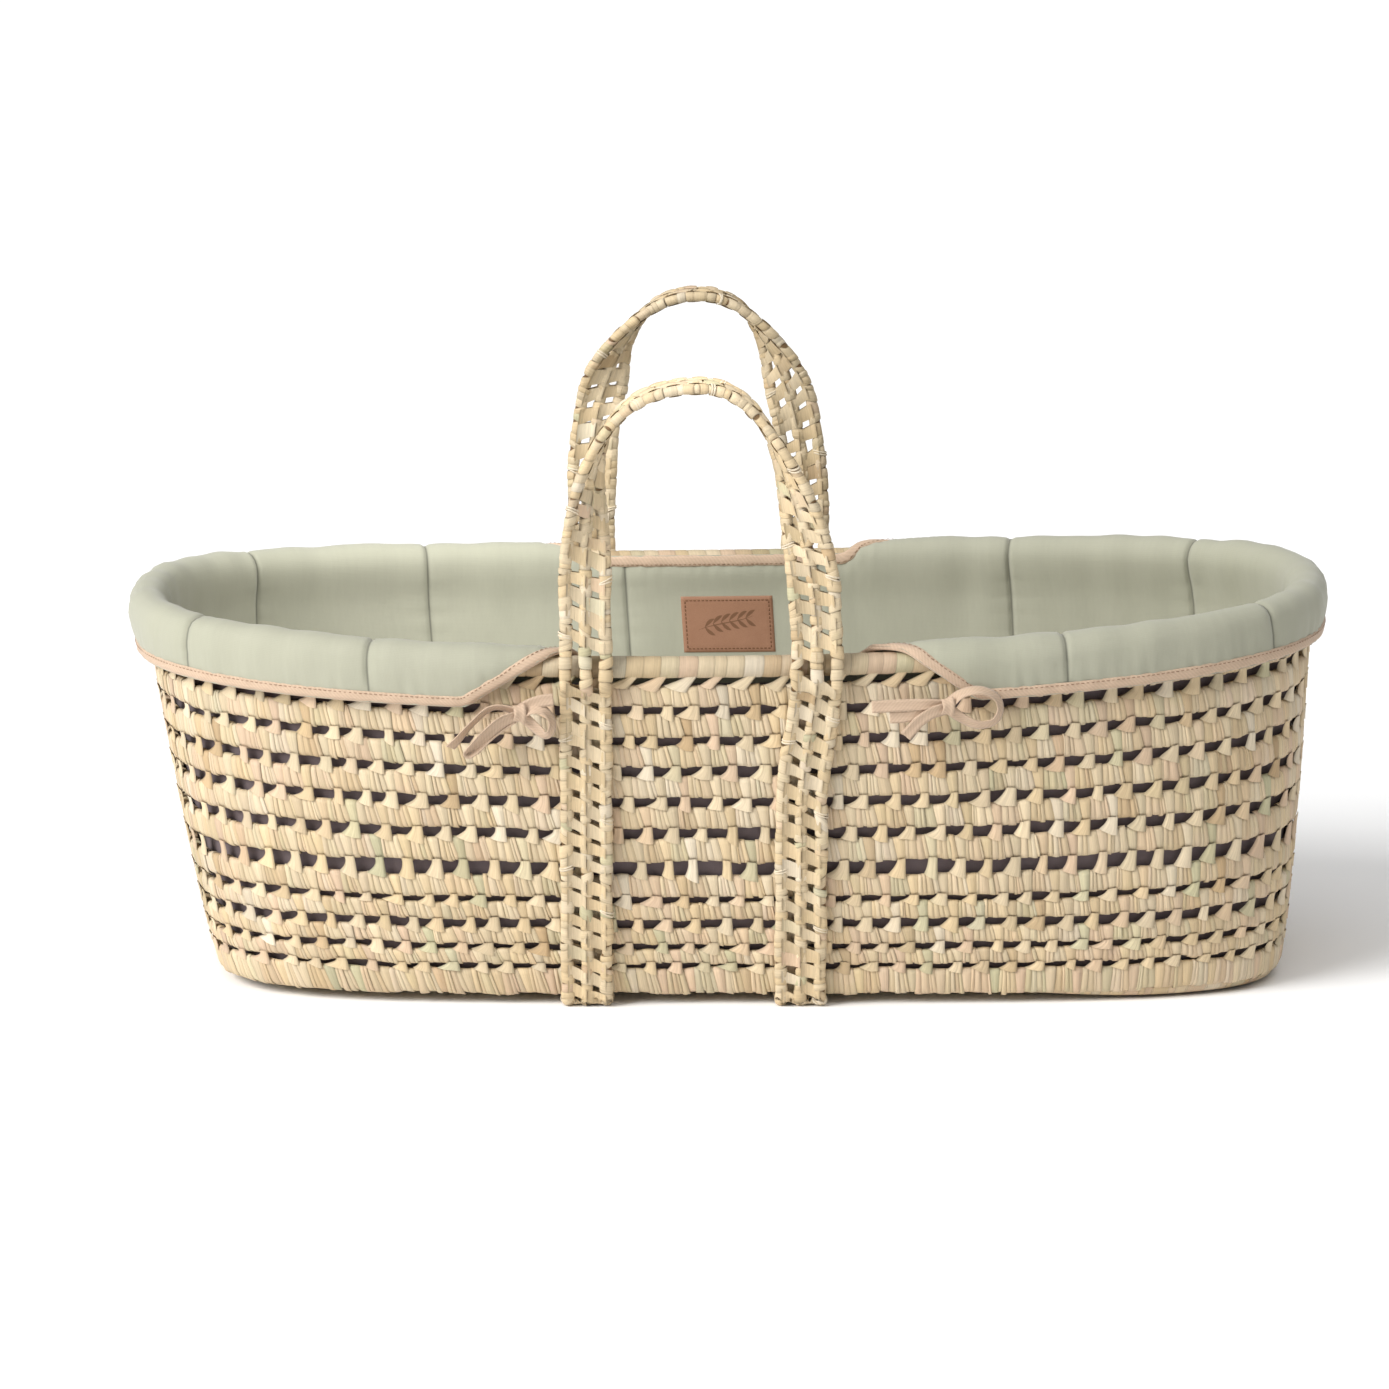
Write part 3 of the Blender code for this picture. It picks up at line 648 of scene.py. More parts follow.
class Track:
    """A path with a width direction, which places points at (distance along, across, outwards)."""

    def __init__(self, points, widths):
        points = np.asarray(points, float)
        widths = np.asarray(widths, float)
        fine = spline(np.concatenate([points, widths], 1), 16)
        points, widths = fine[:, :3], fine[:, 3:]
        self.run = run_along(points)
        self.length = float(self.run[-1])
        tangent = np.gradient(points, self.run, axis=0)
        tangent /= np.linalg.norm(tangent, axis=1)[:, None]
        widths = widths - (widths * tangent).sum(1)[:, None] * tangent
        widths /= np.linalg.norm(widths, axis=1)[:, None]
        self.points, self.widths, self.normals = points, widths, np.cross(tangent, widths)

    def look(self, table, p):
        return np.stack([np.interp(p, self.run, table[:, k]) for k in range(3)], -1)

    def place(self, p, q, r):
        return self.look(self.points, p) + self.look(self.widths, p) * q[..., None] + \
            self.look(self.normals, p) * r[..., None]


def spline(points, steps):
    """Catmull-Rom curve through the points."""
    p = np.concatenate([[2 * points[0] - points[1]], points, [2 * points[-1] - points[-2]]])
    t = np.linspace(0, 1, steps, endpoint=False)[:, None]
    out = []
    for i in range(len(points) - 1):
        a, b, c, d = p[i:i + 4]
        out.append(0.5 * (2 * b + (c - a) * t + (2 * a - 5 * b + 4 * c - d) * t ** 2
                          + (3 * b - a - 3 * c + d) * t ** 3))
    out.append(points[-1][None])
    return np.concatenate(out)


def side_y(z, x, out):
    t = z / RIM_Z
    a, b, n = section(t)
    return b * (1 - abs((x - BASE_SHIFT * (1 - t)) / a) ** n) ** (1 / n) + out


def strap_points(side_x, rim_x):
    """Centreline of a strap from the middle of the base up the front wall to the hinge."""
    off = WALL_T / 2 + STRAP_T / 2 + 0.0006
    half = STRAP_T / 2
    edge = side_y(MAT_Z0 + MAT_T, side_x, WALL_T / 2)
    pts = [(side_x, 0.0, half), (side_x, edge * 0.5, half), (side_x, edge - 0.006, half)]
    for d in np.radians((30, 60, 90)):
        pts.append((side_x, edge + half * math.sin(d), MAT_Z0 - half * math.cos(d) + 0.0003))
    for z in np.linspace(0.030, 0.232, 9):
        x = side_x + (rim_x - side_x) * float(smooth((z - 0.15) / 0.10))
        pts.append((x, side_y(z, x, off), z))
    pts += [(rim_x, HINGE_Y - 0.0004, 0.2410), (rim_x, HINGE_Y, 0.2470), (rim_x, HINGE_Y, BELT_SPLIT)]
    return pts


BELT_SPLIT = 0.2540                # where a strap's mesh hands over to the handle's


def strap_track(side_x, rim_x):
    half = strap_points(side_x, rim_x)
    path = [(x, -y, z) for x, y, z in reversed(half)] + [(x, y, z) for x, y, z in half[1:]]
    return Track(path, [(1, 0, 0)] * len(path))


def handle_track(name, sign):
    """From below the left hinge, over the arch, to below the right hinge."""
    cx, u0 = sum(STRAP_RIM_X) / 2, (STRAP_RIM_X[1] - STRAP_RIM_X[0]) / 2
    g = np.linspace(0, math.pi, 2001)
    c, s = -np.cos(g), np.maximum(np.sin(g), 0.0)
    side = np.where(c < 0, *SHOULDERS[name])
    fine_x = cx + u0 * np.sign(c) * np.abs(c) ** (2 / ARCH_TOP)
    fine_z = HANDLE_RISE * s ** (2 / side)
    run = run_along(np.stack([fine_x, fine_z], -1))
    at = np.linspace(0, run[-1], 33)
    x, z = np.interp(at, run, fine_x), np.interp(at, run, fine_z)
    start, end = TWIST[name]
    dx, dz = np.gradient(x), np.gradient(z)
    size = np.hypot(dx, dz)
    turn = math.pi / 2 * smooth((z / HANDLE_RISE - start) / (end - start))
    width = np.stack([-dz / size * np.cos(turn), sign * np.sin(turn), dx / size * np.cos(turn)], -1)
    width[0], width[-1] = (-1, 0, 0), (1, 0, 0)
    if sign > 0:
        width[:, 0] *= -1
        width[:, 2] *= -1
    points = np.stack([x, np.full(33, sign * HINGE_Y), HINGE_Z + z], -1)
    first = [(x[0], sign * HINGE_Y, BELT_SPLIT)]
    last = [(x[-1], sign * HINGE_Y, BELT_SPLIT)]
    return Track(np.concatenate([first, points, last]), np.concatenate([width[:1], width, width[-1:]]))


def belt(leaves, length, shift=0.0):
    """Three wrapped cords side by side, joined by slanting flares, with a few twine lashings."""
    arc = np.linspace(-math.pi, math.pi, 13)[None, :, None]
    cos, sin = rounded(arc, 0.8)
    for line in (-1, 0, 1):
        ends = np.cumsum(rng.uniform(0.0032, 0.0100, int(length / 0.004)))
        ends = np.concatenate([ends[ends < length - 0.002], [length]])
        starts = np.concatenate([[0.0], ends[:-1]])
        n = len(ends)
        slant = rng.normal(0, 0.0011, (n, 1, 1)) * sin
        p = (starts - 0.0004)[:, None, None] + (ends - starts + 0.0008)[:, None, None] * ACROSS + slant
        swell = rng.normal(0, 0.00026, (n, 1, 1)) + crowned(n, 0.0001, 0.0006, 0.0006)
        wander = 0.0004 * np.sin(p * 90 + line * 2)
        q = line * CORD_Q + wander + (CORD_W / 2 - 0.0002 + swell) * sin
        r = (CORD_T / 2 - 0.0001 + swell) * cos
        p = np.clip(p, 0, length)
        leaves.add(p, q, r, leaf_tints(n, BELT_SHARES, 0.05), 0.02, ends - starts, 0.48)
        # the cord's core, in the dark core colour: painted shade between the wraps
        core = np.linspace(0, length, max(int(length / 0.006), 2))[None, None, :]
        leaves.add(core + 0 * arc, line * CORD_Q + (CORD_W / 2 - 0.0011) * sin + 0 * core,
                   (CORD_T / 2 - 0.0010) * cos + 0 * core, CORE_AND_GAP_SHADE_COLOUR[None], 0.03, length)
    flares(leaves, length, shift)
    lashings(leaves, length)


def flares(leaves, length, shift):
    """Leaf ends that cross from one cord to the next, pointed at the far side."""
    gap = CORD_Q - CORD_W + 0.0088
    v = np.linspace(0, 1, 6)[None, :, None]
    w = np.linspace(0, 1, 9)[None, None, :]
    over = np.abs(2 * w - 1) ** 2.2
    for side in (0, 1):
        n = int(length / FLARE_STEP)
        start = (np.arange(n) + 0.5 * side + shift % 1.0) * FLARE_STEP + rng.normal(0, 0.0012, n)
        start = start[(start > 0.001) & (start < length - 0.017)][:, None, None]
        n = len(start)
        wide = rng.uniform(0.0086, 0.0132, (n, 1, 1))
        near = start + wide * v
        far = start + rng.uniform(0.0040, 0.0090, (n, 1, 1)) + wide * 0.8 * v
        p = near * (1 - w) + far * w
        middle = CORD_Q * (side - 0.5)
        q = middle + gap * (w - 0.5) + 0 * p
        edges = 0.0004 * np.sin(math.pi * v)
        for face in (1, -1):
            r = face * (0.0020 + (CORD_T / 2 - 0.0016) * over + edges) + 0 * p
            across = q if face > 0 else q[:, ::-1]
            down = p if face > 0 else p[:, ::-1]
            leaves.add(down, across, r, leaf_tints(n, BELT_SHARES, 0.06), 0.012, 0.010, 0.30)


def lashings(leaves, length):
    """Twine passed round the outer cords."""
    arc = np.linspace(-math.pi, math.pi, 13)[None, :, None]
    cos, sin = rounded(arc, 0.9)
    for line, step in ((-1, 0.110), (1, 0.075)):
        n = int(length / step)
        p0 = (np.arange(n) + 0.5 + rng.uniform(-0.2, 0.2, n))[:, None, None] * step
        p0 = p0[(p0[:, 0, 0] > 0.004) & (p0[:, 0, 0] < length - 0.004)]
        for strand in (-1, 1):
            lean = rng.uniform(0.0008, 0.0026, (len(p0), 1, 1)) * line
            p = p0 + lean * sin + strand * 0.0009 + 0.0013 * (ACROSS - 0.5)
            round_top = 0.0007 * np.sqrt(np.maximum(1 - (2 * ACROSS - 1) ** 2, 0.0))
            q = line * CORD_Q + (CORD_W / 2 + 0.0001 + round_top) * sin
            r = (CORD_T / 2 + 0.0001 + round_top) * cos
            leaves.add(p, q + 0 * p, r + 0 * p, np.repeat(TWINE_COLOUR[None], len(p0), 0), 0.03, 0.0013)


def straps(leaf):
    made = []
    for name, side_x, rim_x in zip(("strap_left", "strap_right"), STRAP_X, STRAP_RIM_X):
        track = strap_track(side_x, rim_x)
        leaves = Leaves(track.place)
        belt(leaves, track.length, rng.random())
        piece = leaves.make("wrapped_" + name, leaf)
        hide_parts(name)
        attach(piece, "basket")
        made.append(piece)
    return made


def handles(leaf):
    made = []
    for name, sign in (("front_handle", -1), ("back_handle", 1)):
        track = handle_track(name, sign)
        leaves = Leaves(track.place)
        belt(leaves, track.length, rng.random())
        piece = leaves.make("wrapped_" + name, leaf)
        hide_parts(name)
        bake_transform(piece)
        made.append(piece)
    return made


# ---------------------------------------------------------------- liner
def roll_point(degrees):
    """Point of the liner's section at that angle round the rim rod, 0 outwards and 180 inwards."""
    angle = math.radians(degrees)
    return ROLL_MID * math.cos(angle), RIM_Z + ROLL_MID * math.sin(angle)


def liner_path():
    """Section of the liner's middle surface, as (offset, height): floor edge, wall, roll, skirt."""
    floor_z = MAT_Z0 + MAT_T + LINER_T / 2 + 0.0003
    inner = -(WALL_T / 2 + LINER_T / 2 + 0.0006)
    pts = [(inner - 0.012, floor_z), (inner - 0.006, floor_z + 0.0004), (inner - 0.0012, floor_z + 0.004)]
    pts += [(inner, z) for z in np.linspace(floor_z + 0.012, 0.216, 13)]
    pts += [(inner - 0.0007, 0.2270), (inner - 0.0026, 0.2375), (inner - 0.0043, 0.2465)]
    pts += [roll_point(degrees) for degrees in np.linspace(174, 12, 17)]
    pts += [(ROLL_MID + 0.0008, z) for z in np.linspace(0.251, 0.205, 6)]
    pts = np.array(pts)
    pts = spline(pts, 6)
    run = run_along(pts)
    slope = np.gradient(pts, run, axis=0)
    slope /= np.linalg.norm(slope, axis=1)[:, None]
    return pts, np.stack([-slope[:, 1], slope[:, 0]], 1), run


PATH, PATH_OUT, PATH_RUN = liner_path()


def path_run_at_angle(degrees):
    """Distance along the liner's section where it passes that angle round the rim rod."""
    return float(PATH_RUN[np.argmin(np.linalg.norm(PATH - roll_point(degrees), axis=1))])


def on_liner(u, m, lift):
    """Point at fraction u round the wall and distance m along the liner's section, lifted off its middle."""
    off = np.interp(m, PATH_RUN, PATH[:, 0]) + np.interp(m, PATH_RUN, PATH_OUT[:, 0]) * lift
    z = np.interp(m, PATH_RUN, PATH[:, 1]) + np.interp(m, PATH_RUN, PATH_OUT[:, 1]) * lift
    return wall(u, z, off)


def skirt_edge(x):
    return SKIRT_Z[0] + SKIRT_Z[1] * x + SKIRT_Z[2] * (x / RIM_A) ** 2


def rim_x(u):
    return WALL_TABLE[-1, (np.asarray(u) % 1.0 * ROUND).astype(int), 0]


M_OUT, M_TOP, M_IN = path_run_at_angle(58), path_run_at_angle(98), path_run_at_angle(152)
SKIRT_TOP_Z = 0.2490
M_BACKING = float(PATH_RUN[np.argmax(PATH[:, 1] > 0.238)])


def liner_end(u):
    """Where the liner's edge lies along its section: the skirt's hem, or inside the rim at the cut-outs."""
    x = rim_x(u)
    hem = float(np.interp(-SKIRT_TOP_Z, -PATH[-30:, 1], PATH_RUN[-30:])) + SKIRT_TOP_Z - skirt_edge(x)
    left = np.interp(x, (-0.1860, -0.1235, -0.1130, -0.1050), (0.0, 0.60, 0.84, 1.0))
    right = np.interp(x, (0.0910, 0.0990, 0.1190, 0.1690), (1.0, 0.84, 0.60, 0.0))
    cut = np.where(x < 0, left, right)
    slope = hem + (M_OUT - hem) * cut / 0.60
    return np.where(cut < 0.60, slope, np.interp(cut, (0.60, 0.84, 1.0), (M_OUT, M_TOP, M_IN)))


def seam_fractions():
    front = [float(rim_fraction(x, True)) for x in SEAM_X_FRONT]
    back = [float(rim_fraction(x, False)) for x in SEAM_X_BACK]
    return np.sort(np.array(front + back))


def label_room(u, m):
    """1 under the sewn patch, falling to 0 just outside it."""
    across = np.abs((u - rim_fraction(LABEL_X, False) + 0.5) % 1.0 - 0.5) * RIM_ROUND - LABEL_W / 2
    middle = run_at_height(LABEL_Z)
    return 1 - smooth((np.maximum(across, np.abs(m - middle) - LABEL_H / 2) - 0.001) / 0.030)


def run_at_height(z):
    """Distance along the liner's section where its inner wall reaches that nominal height."""
    inner = PATH_RUN < M_IN
    return np.interp(z, PATH[inner, 1], PATH_RUN[inner])


def puff(u, m, end):
    """Padding height over the liner: full between the quilting seams, pinched at them and at the edge."""
    seams = seam_fractions()
    gaps = np.abs((u[..., None] - seams + 0.5) % 1.0 - 0.5) * RIM_ROUND
    near = gaps.min(-1)
    full = 1 - 0.62 * np.exp(-(near / 0.0022) ** 2) - 0.30 * np.exp(-(near / 0.012) ** 2)
    hem = 1 - np.exp(-np.maximum(end - m - BIND_W * 0.7, 0) / 0.006)
    pucker = 0.0006 * np.exp(-near / 0.012) * np.sin(m * 520 + 7 * np.sin(m * 90)) * smooth(near / 0.002)
    gather = 0.0008 * np.exp(-np.maximum(end - m - BIND_W, 0) / 0.010) * wave(u, 1.0, 35, 120, 330)
    folds = wave(u + 0.006 * np.sin(m * 21), 0.0004, 33, 22, 70) * smooth(m / 0.03) * smooth(near / 0.012)
    drape = 0.0005 * np.sin(m * 44 + 7 * wave(u, 0.5, 37, 3, 12)) * smooth(near / 0.03)
    total = 0.0030 * full * hem + pucker + gather * 0.6 + (folds + drape) * hem
    total = (total + np.sqrt(total ** 2 + 0.0009 ** 2)) / 2
    patch = label_room(u, m)
    return total * (1 - patch) + 0.0008 * patch


def liner_columns():
    """Fractions round the wall of the liner's columns, gathered at the seams, and each one's nearest seam."""
    seams = seam_fractions()
    plain = np.arange(720) / 720
    gaps = np.abs((plain[:, None] - seams + 0.5) % 1.0 - 0.5).min(1) * RIM_ROUND
    steps = np.array((0.0005, 0.0011, 0.0019, 0.0030, 0.0042))
    beside = np.concatenate([-steps[::-1], [0.0], steps])
    u = np.concatenate([plain[gaps > 0.0052], ((seams[:, None] + beside / RIM_ROUND) % 1.0).ravel()])
    u = np.sort(u)
    if len(u) % 2:
        u = np.delete(u, np.argmax(np.abs(u - 0.5) < 0.01))
    return u, np.abs((u[:, None] - seams + 0.5) % 1.0 - 0.5).min(1) * RIM_ROUND


def liner_pieces(sage, backing):
    u, near = liner_columns()
    cols, rows = len(u), 74
    end = liner_end(u)
    v = np.linspace(0, 1, rows)[:, None]
    m = v * end[None]
    lift = LINER_T / 2 - 0.0006 + puff(u[None] + 0 * m, m, end[None])
    top = on_liner(u[None] + 0 * m, m, lift)
    cloth = np.stack([u[None] * RIM_ROUND + 0 * m, m, 0 * m], -1).reshape(-1, 3)
    # painted shade along the quilting seams, multiplied into the liner's tint
    seam_shade = 1 - 0.50 * np.exp(-(near / 0.0007) ** 2) - 0.10 * np.exp(-(near / 0.0030) ** 2)
    verts = top.reshape(-1, 3)
    floor = floor_rings(top[0])
    quads = grid_quads(rows, cols, close_cols=True)[:, ::-1]
    verts, quads, cloth = close_floor(verts, quads, cloth, floor, cols)
    tint = np.ones((len(verts), 3))
    tint[:rows * cols] *= np.tile(seam_shade, rows)[:, None]
    cotton_liner = piece_of("liner_cotton", verts, quads, sage, cloth, tint)
    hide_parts("liner")
    below = np.minimum(m, M_BACKING * (v * 0.999 + 0.001))
    back = on_liner(u[None] + 0 * m, below, -LINER_T / 2 + 0.0002)
    back_quads = grid_quads(rows, cols, close_cols=True)
    return cotton_liner, piece_of("liner_backing", back, back_quads, backing, cloth[:rows * cols])


def floor_rings(edge):
    """The liner's floor, as shrinking copies of its edge."""
    centre = edge.mean(0)
    out = []
    for share in (0.85, 0.65, 0.45, 0.25, 0.08):
        ring = centre + (edge - centre) * share
        ring[:, 2] = edge[:, 2] + 0.0002
        out.append(ring)
    return out


def close_floor(verts, quads, cloth, rings, cols):
    """Adds the floor rings and a small closing cap below the wall's first row."""
    start = len(verts)
    last = np.arange(cols)
    made = [quads]
    for k in range(len(rings)):
        here = start + k * cols + np.arange(cols)
        made.append(np.stack([last, np.roll(last, -1), np.roll(here, -1), here], -1))
        last = here
    half = cols // 2
    i = np.arange(half - 1)
    made.append(np.stack([last[i], last[i + 1], last[cols - 2 - i], last[cols - 1 - i]], -1))
    floor = np.concatenate(rings)
    cloth = np.concatenate([cloth, np.stack([floor[:, 0], floor[:, 1], 0 * floor[:, 0]], -1)])
    return np.concatenate([verts, floor]), np.concatenate(made), cloth


# ---------------------------------------------------------------- binding
def edge_line():
    """The liner's edge in flat cloth coordinates (distance round, distance along the section), smoothed."""
    u = np.arange(4000) / 4000
    line = np.stack([u * RIM_ROUND, liner_end(u)], -1)
    kernel = np.hanning(27)
    kernel /= kernel.sum()
    padded = np.concatenate([line[-40:, 1], line[:, 1], line[:40, 1]])
    line[:, 1] = np.convolve(padded, kernel, "same")[40:-40]
    run = run_along(line)
    count = 1500
    at = np.linspace(0, run[-1], count, endpoint=False)
    even = np.stack([np.interp(at, run, line[:, k]) for k in (0, 1)], -1)
    step = np.roll(even, -1, 0) - np.roll(even, 1, 0)
    step[0, 0] += RIM_ROUND
    step[-1, 0] += RIM_ROUND
    step /= np.linalg.norm(step, axis=1)[:, None]
    return even, np.stack([step[:, 1], -step[:, 0]], -1), at


def binding(tape, stitch_thread):
    """Bias tape folded over the liner's edge, and its line of stitches."""
    line, inward, at = edge_line()
    pad = LINER_T / 2
    fold = ((BIND_W, pad + 0.0004), (BIND_W - 0.0006, pad + 0.0012), (BIND_W * 0.62, pad + 0.0013),
            (BIND_W * 0.3, pad + 0.0014), (0.0012, pad + 0.0010), (0.0, pad - 0.0004), (-0.0006, 0.0),
            (0.0, -pad + 0.0006), (0.0014, -pad - 0.0001), (BIND_W * 0.6, -pad - 0.0001))
    rows = []
    for depth, lift in fold:
        flat = line + inward * depth
        ripple = 0.00025 * np.sin(at * 260 + 3 * np.sin(at * 40)) * (lift > 0)
        rows.append(on_liner(flat[:, 0] / RIM_ROUND, flat[:, 1], lift + ripple))
    along, across = np.meshgrid(at, [depth for depth, _ in fold])
    cloth = np.stack([along, across, 0 * along], -1)
    quads = grid_quads(len(fold), len(at), close_cols=True)
    piece = piece_of("liner_tape", np.stack(rows), quads, tape, cloth)
    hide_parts("liner_binding")
    return piece, stitches("tape_stitches", line, inward, at, BIND_W - 0.0016, pad + 0.0014, stitch_thread)


def stitches(name, line, inward, at, depth, lift, material):
    """Small thread loops along a line in cloth coordinates."""
    total = at[-1] + (at[1] - at[0])
    n = int(total / 0.0036)
    mid = (np.arange(n) + 0.5) * total / n
    s = mid[:, None] + np.array((-0.0011, -0.0004, 0.0004, 0.0011))[None]
    x = np.interp(s, at, line[:, 0])
    y = np.interp(s, at, line[:, 1])
    ix = np.interp(s, at, inward[:, 0])
    iy = np.interp(s, at, inward[:, 1])
    rise = np.array((-0.0001, 0.0003, 0.0003, -0.0001))[None]
    made = []
    for side, extra in ((0.0003, -0.0001), (0.0, 0.00012), (-0.0003, -0.0001)):
        far = depth + side
        made.append(on_liner((x + ix * far) / RIM_ROUND, y + iy * far, lift + rise + extra))
    return piece_of(name, np.stack(made, 1), loop_quads(n), material)


def loop_quads(count):
    """Quads of stitches that are grids of 3 rows by 4 points."""
    return (grid_quads(3, 4)[None] + (np.arange(count) * 12)[:, None, None]).reshape(-1, 4)


# ---------------------------------------------------------------- bows
def bow_place(x, z, out, sign):
    """Point in front of the skirt at length x and height z."""
    return np.array((x, sign * (side_y(RIM_Z, x, ROLL_MID + LINER_T) - 0.0010 + out), z))


def ribbon(name, strands, sign, tape, width=0.0086):
    """Flat tape along several centrelines of (x, z, out, tilt in degrees)."""
    verts, quads, cloth = [], [], []
    count = 0
    across = np.array((-0.5, -0.25, 0.0, 0.25, 0.5))
    for strand in strands:
        knots = np.array([(*bow_place(x, z, out, sign), tilt) for x, z, out, tilt in strand])
        fine = spline(knots, 10)
        points, tilt = fine[:, :3], np.radians(fine[:, 3])
        run = run_along(points)
        tangent = np.gradient(points, run, axis=0)
        tangent /= np.linalg.norm(tangent, axis=1)[:, None]
        facing = np.array((0.0, float(sign), 0.0))
        flat = np.cross(tangent, facing)
        flat /= np.maximum(np.linalg.norm(flat, axis=1), 1e-9)[:, None]
        up = np.cross(flat, tangent)
        wide = flat * np.cos(tilt)[:, None] + up * np.sin(tilt)[:, None]
        thick = np.cross(tangent, wide)
        curl = 0.0005 * np.cos(across * math.pi * 2)
        for face in (0.00035, -0.00035):
            grid = points[:, None] + wide[:, None] * (across * width)[None, :, None]
            grid = grid + thick[:, None] * (curl + face)[None, :, None]
            k = grid_quads(len(points), 5) + count
            quads.append(k if face > 0 else k[:, ::-1])
            verts.append(grid.reshape(-1, 3))
            flat_x, flat_y = run[:, None] + 0 * across, across * width + 0 * run[:, None]
            cloth.append(np.stack([flat_x, flat_y, 0 * flat_x], -1).reshape(-1, 3))
            count += len(points) * 5
        ring = len(points) * 5
        a, b = count - 2 * ring, count - ring
        rim = np.concatenate([np.arange(len(points)) * 5, (len(points) - 1) * 5 + np.arange(1, 5),
                              np.arange(len(points) - 2, -1, -1) * 5 + 4, np.arange(3, 0, -1)])
        after = np.roll(rim, -1)
        quads.append(np.stack([a + rim, a + after, b + after, b + rim], -1))
    return piece_of(name, np.concatenate(verts), np.concatenate(quads), tape, np.concatenate(cloth))


KNOTS = {"left": (-0.1474, 0.2230), "right": (0.1507, 0.2277)}
KNOT = ((0.0, 0.0058, 0.0078, 0), (0.001, 0.002, 0.0102, 8), (0.001, -0.002, 0.0102, 8),
        (0.0, -0.0058, 0.0076, 0))
BOW_STRANDS = {                    # (along, up, outwards, tilt in degrees) from the knot
    "left": (
        ((0.0, 0.0, 0.0060, 40), (-0.010, 0.0040, 0.0068, 52), (-0.021, 0.0028, 0.0070, 56),
         (-0.033, -0.0080, 0.0065, 58),
         (-0.043, -0.0200, 0.0050, 50), (-0.0485, -0.0262, 0.0040, 40)),
        ((0.0, -0.001, 0.0060, 40), (-0.012, -0.004, 0.0085, 48), (-0.024, -0.014, 0.0090, 52),
         (-0.034, -0.0262, 0.0070, 48),
         (-0.0352, -0.0295, 0.0055, 30), (-0.0300, -0.0262, 0.0045, 40), (-0.018, -0.0150, 0.0040, 42),
          (-0.004, -0.0040, 0.0040, 30)),
        ((0.0, -0.002, 0.0070, 30), (-0.009, -0.0045, 0.0080, 25), (-0.0185, -0.0120, 0.0076, 22),
         (-0.0270, -0.0220, 0.0060, 15),
         (-0.0320, -0.0280, 0.0048, 5)),
        ((0.001, 0.0, 0.0060, 30), (0.009, 0.0030, 0.0080, 50), (0.0175, 0.0022, 0.0085, 58),
         (0.0225, -0.0045, 0.0075, 62),
         (0.0220, -0.0125, 0.0060, 52), (0.0180, -0.0150, 0.0050, 40), (0.012, -0.0105, 0.0045, 30),
          (0.001, -0.0010, 0.0040, 15)),
        ((0.001, 0.002, 0.0055, 0), (0.008, 0.0062, 0.0060, 0), (0.016, 0.0088, 0.0056, 5),
         (0.0240, 0.0098, 0.0050, 0)),
        KNOT,
    ),
    "right": (
        ((0.0, 0.0, 0.0055, 0), (-0.012, 0.0012, 0.0062, 8), (-0.026, 0.0010, 0.0055, 0),
         (-0.040, 0.0004, 0.0050, -4),
         (-0.0525, -0.0002, 0.0046, 0)),
        ((0.0, -0.001, 0.0070, 14), (-0.010, -0.0040, 0.0078, 18), (-0.019, -0.0100, 0.0066, 14),
         (-0.0255, -0.0172, 0.0055, 10),
         (-0.0290, -0.0213, 0.0050, 5)),
        ((-0.001, -0.002, 0.0050, -5), (-0.014, -0.0050, 0.0055, 5), (-0.028, -0.0070, 0.0048, 0),
         (-0.040, -0.0078, 0.0043, 0)),
        ((0.001, 0.001, 0.0060, 35), (0.010, 0.0085, 0.0080, 55), (0.022, 0.0108, 0.0085, 60),
         (0.0335, 0.0060, 0.0075, 62),
         (0.0369, -0.0030, 0.0065, 58), (0.0330, -0.0115, 0.0055, 50), (0.022, -0.0138, 0.0050, 40),
          (0.010, -0.0085, 0.0045, 32),
         (0.0, -0.0010, 0.0040, 20)),
        KNOT,
    ),
}


def bow(side, sign, tape):
    """A loosely tied bow: creased loops, flat tails and a knot over them."""
    x, z = KNOTS[side]
    strands = [[(x + dx, z + dz, out, tilt) for dx, dz, out, tilt in strand] for strand in BOW_STRANDS[side]]
    tag = ("front_" if sign < 0 else "back_") + side
    piece = ribbon("tape_bow_" + tag, strands, sign, tape)
    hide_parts("tie_bow_" + tag)
    return piece


# ---------------------------------------------------------------- label
def on_label(x, z, rise):
    """Point over the sewn patch: x and z from its middle, rise off the liner under it."""
    u = rim_fraction(LABEL_X, False) - np.asarray(x) / RIM_ROUND
    return on_liner(u, run_at_height(LABEL_Z) + z, LINER_T / 2 + 0.0003 + rise)


def label(tan, stitch_thread, stamp):
    """Blank tan patch sewn to the back wall, with a stamped leaf sprig and a stitched border."""
    cols, rows = 49, 31
    gx, gz = np.meshgrid(LABEL_W * (np.linspace(0, 1, cols) - 0.5), LABEL_H * (np.linspace(0, 1, rows) - 0.5))
    edge = np.minimum(LABEL_W / 2 - np.abs(gx), LABEL_H / 2 - np.abs(gz))
    rise = 0.0014 * smooth(edge / 0.0012) - 0.0003 * np.exp(-((edge - 0.0030) / 0.0006) ** 2)
    verts = on_label(gx, gz, rise)
    patch = piece_of("label_leather", verts, grid_quads(rows, cols)[:, ::-1], tan)
    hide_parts("label_patch")
    return patch, border_stitches(stitch_thread), sprig(stamp)


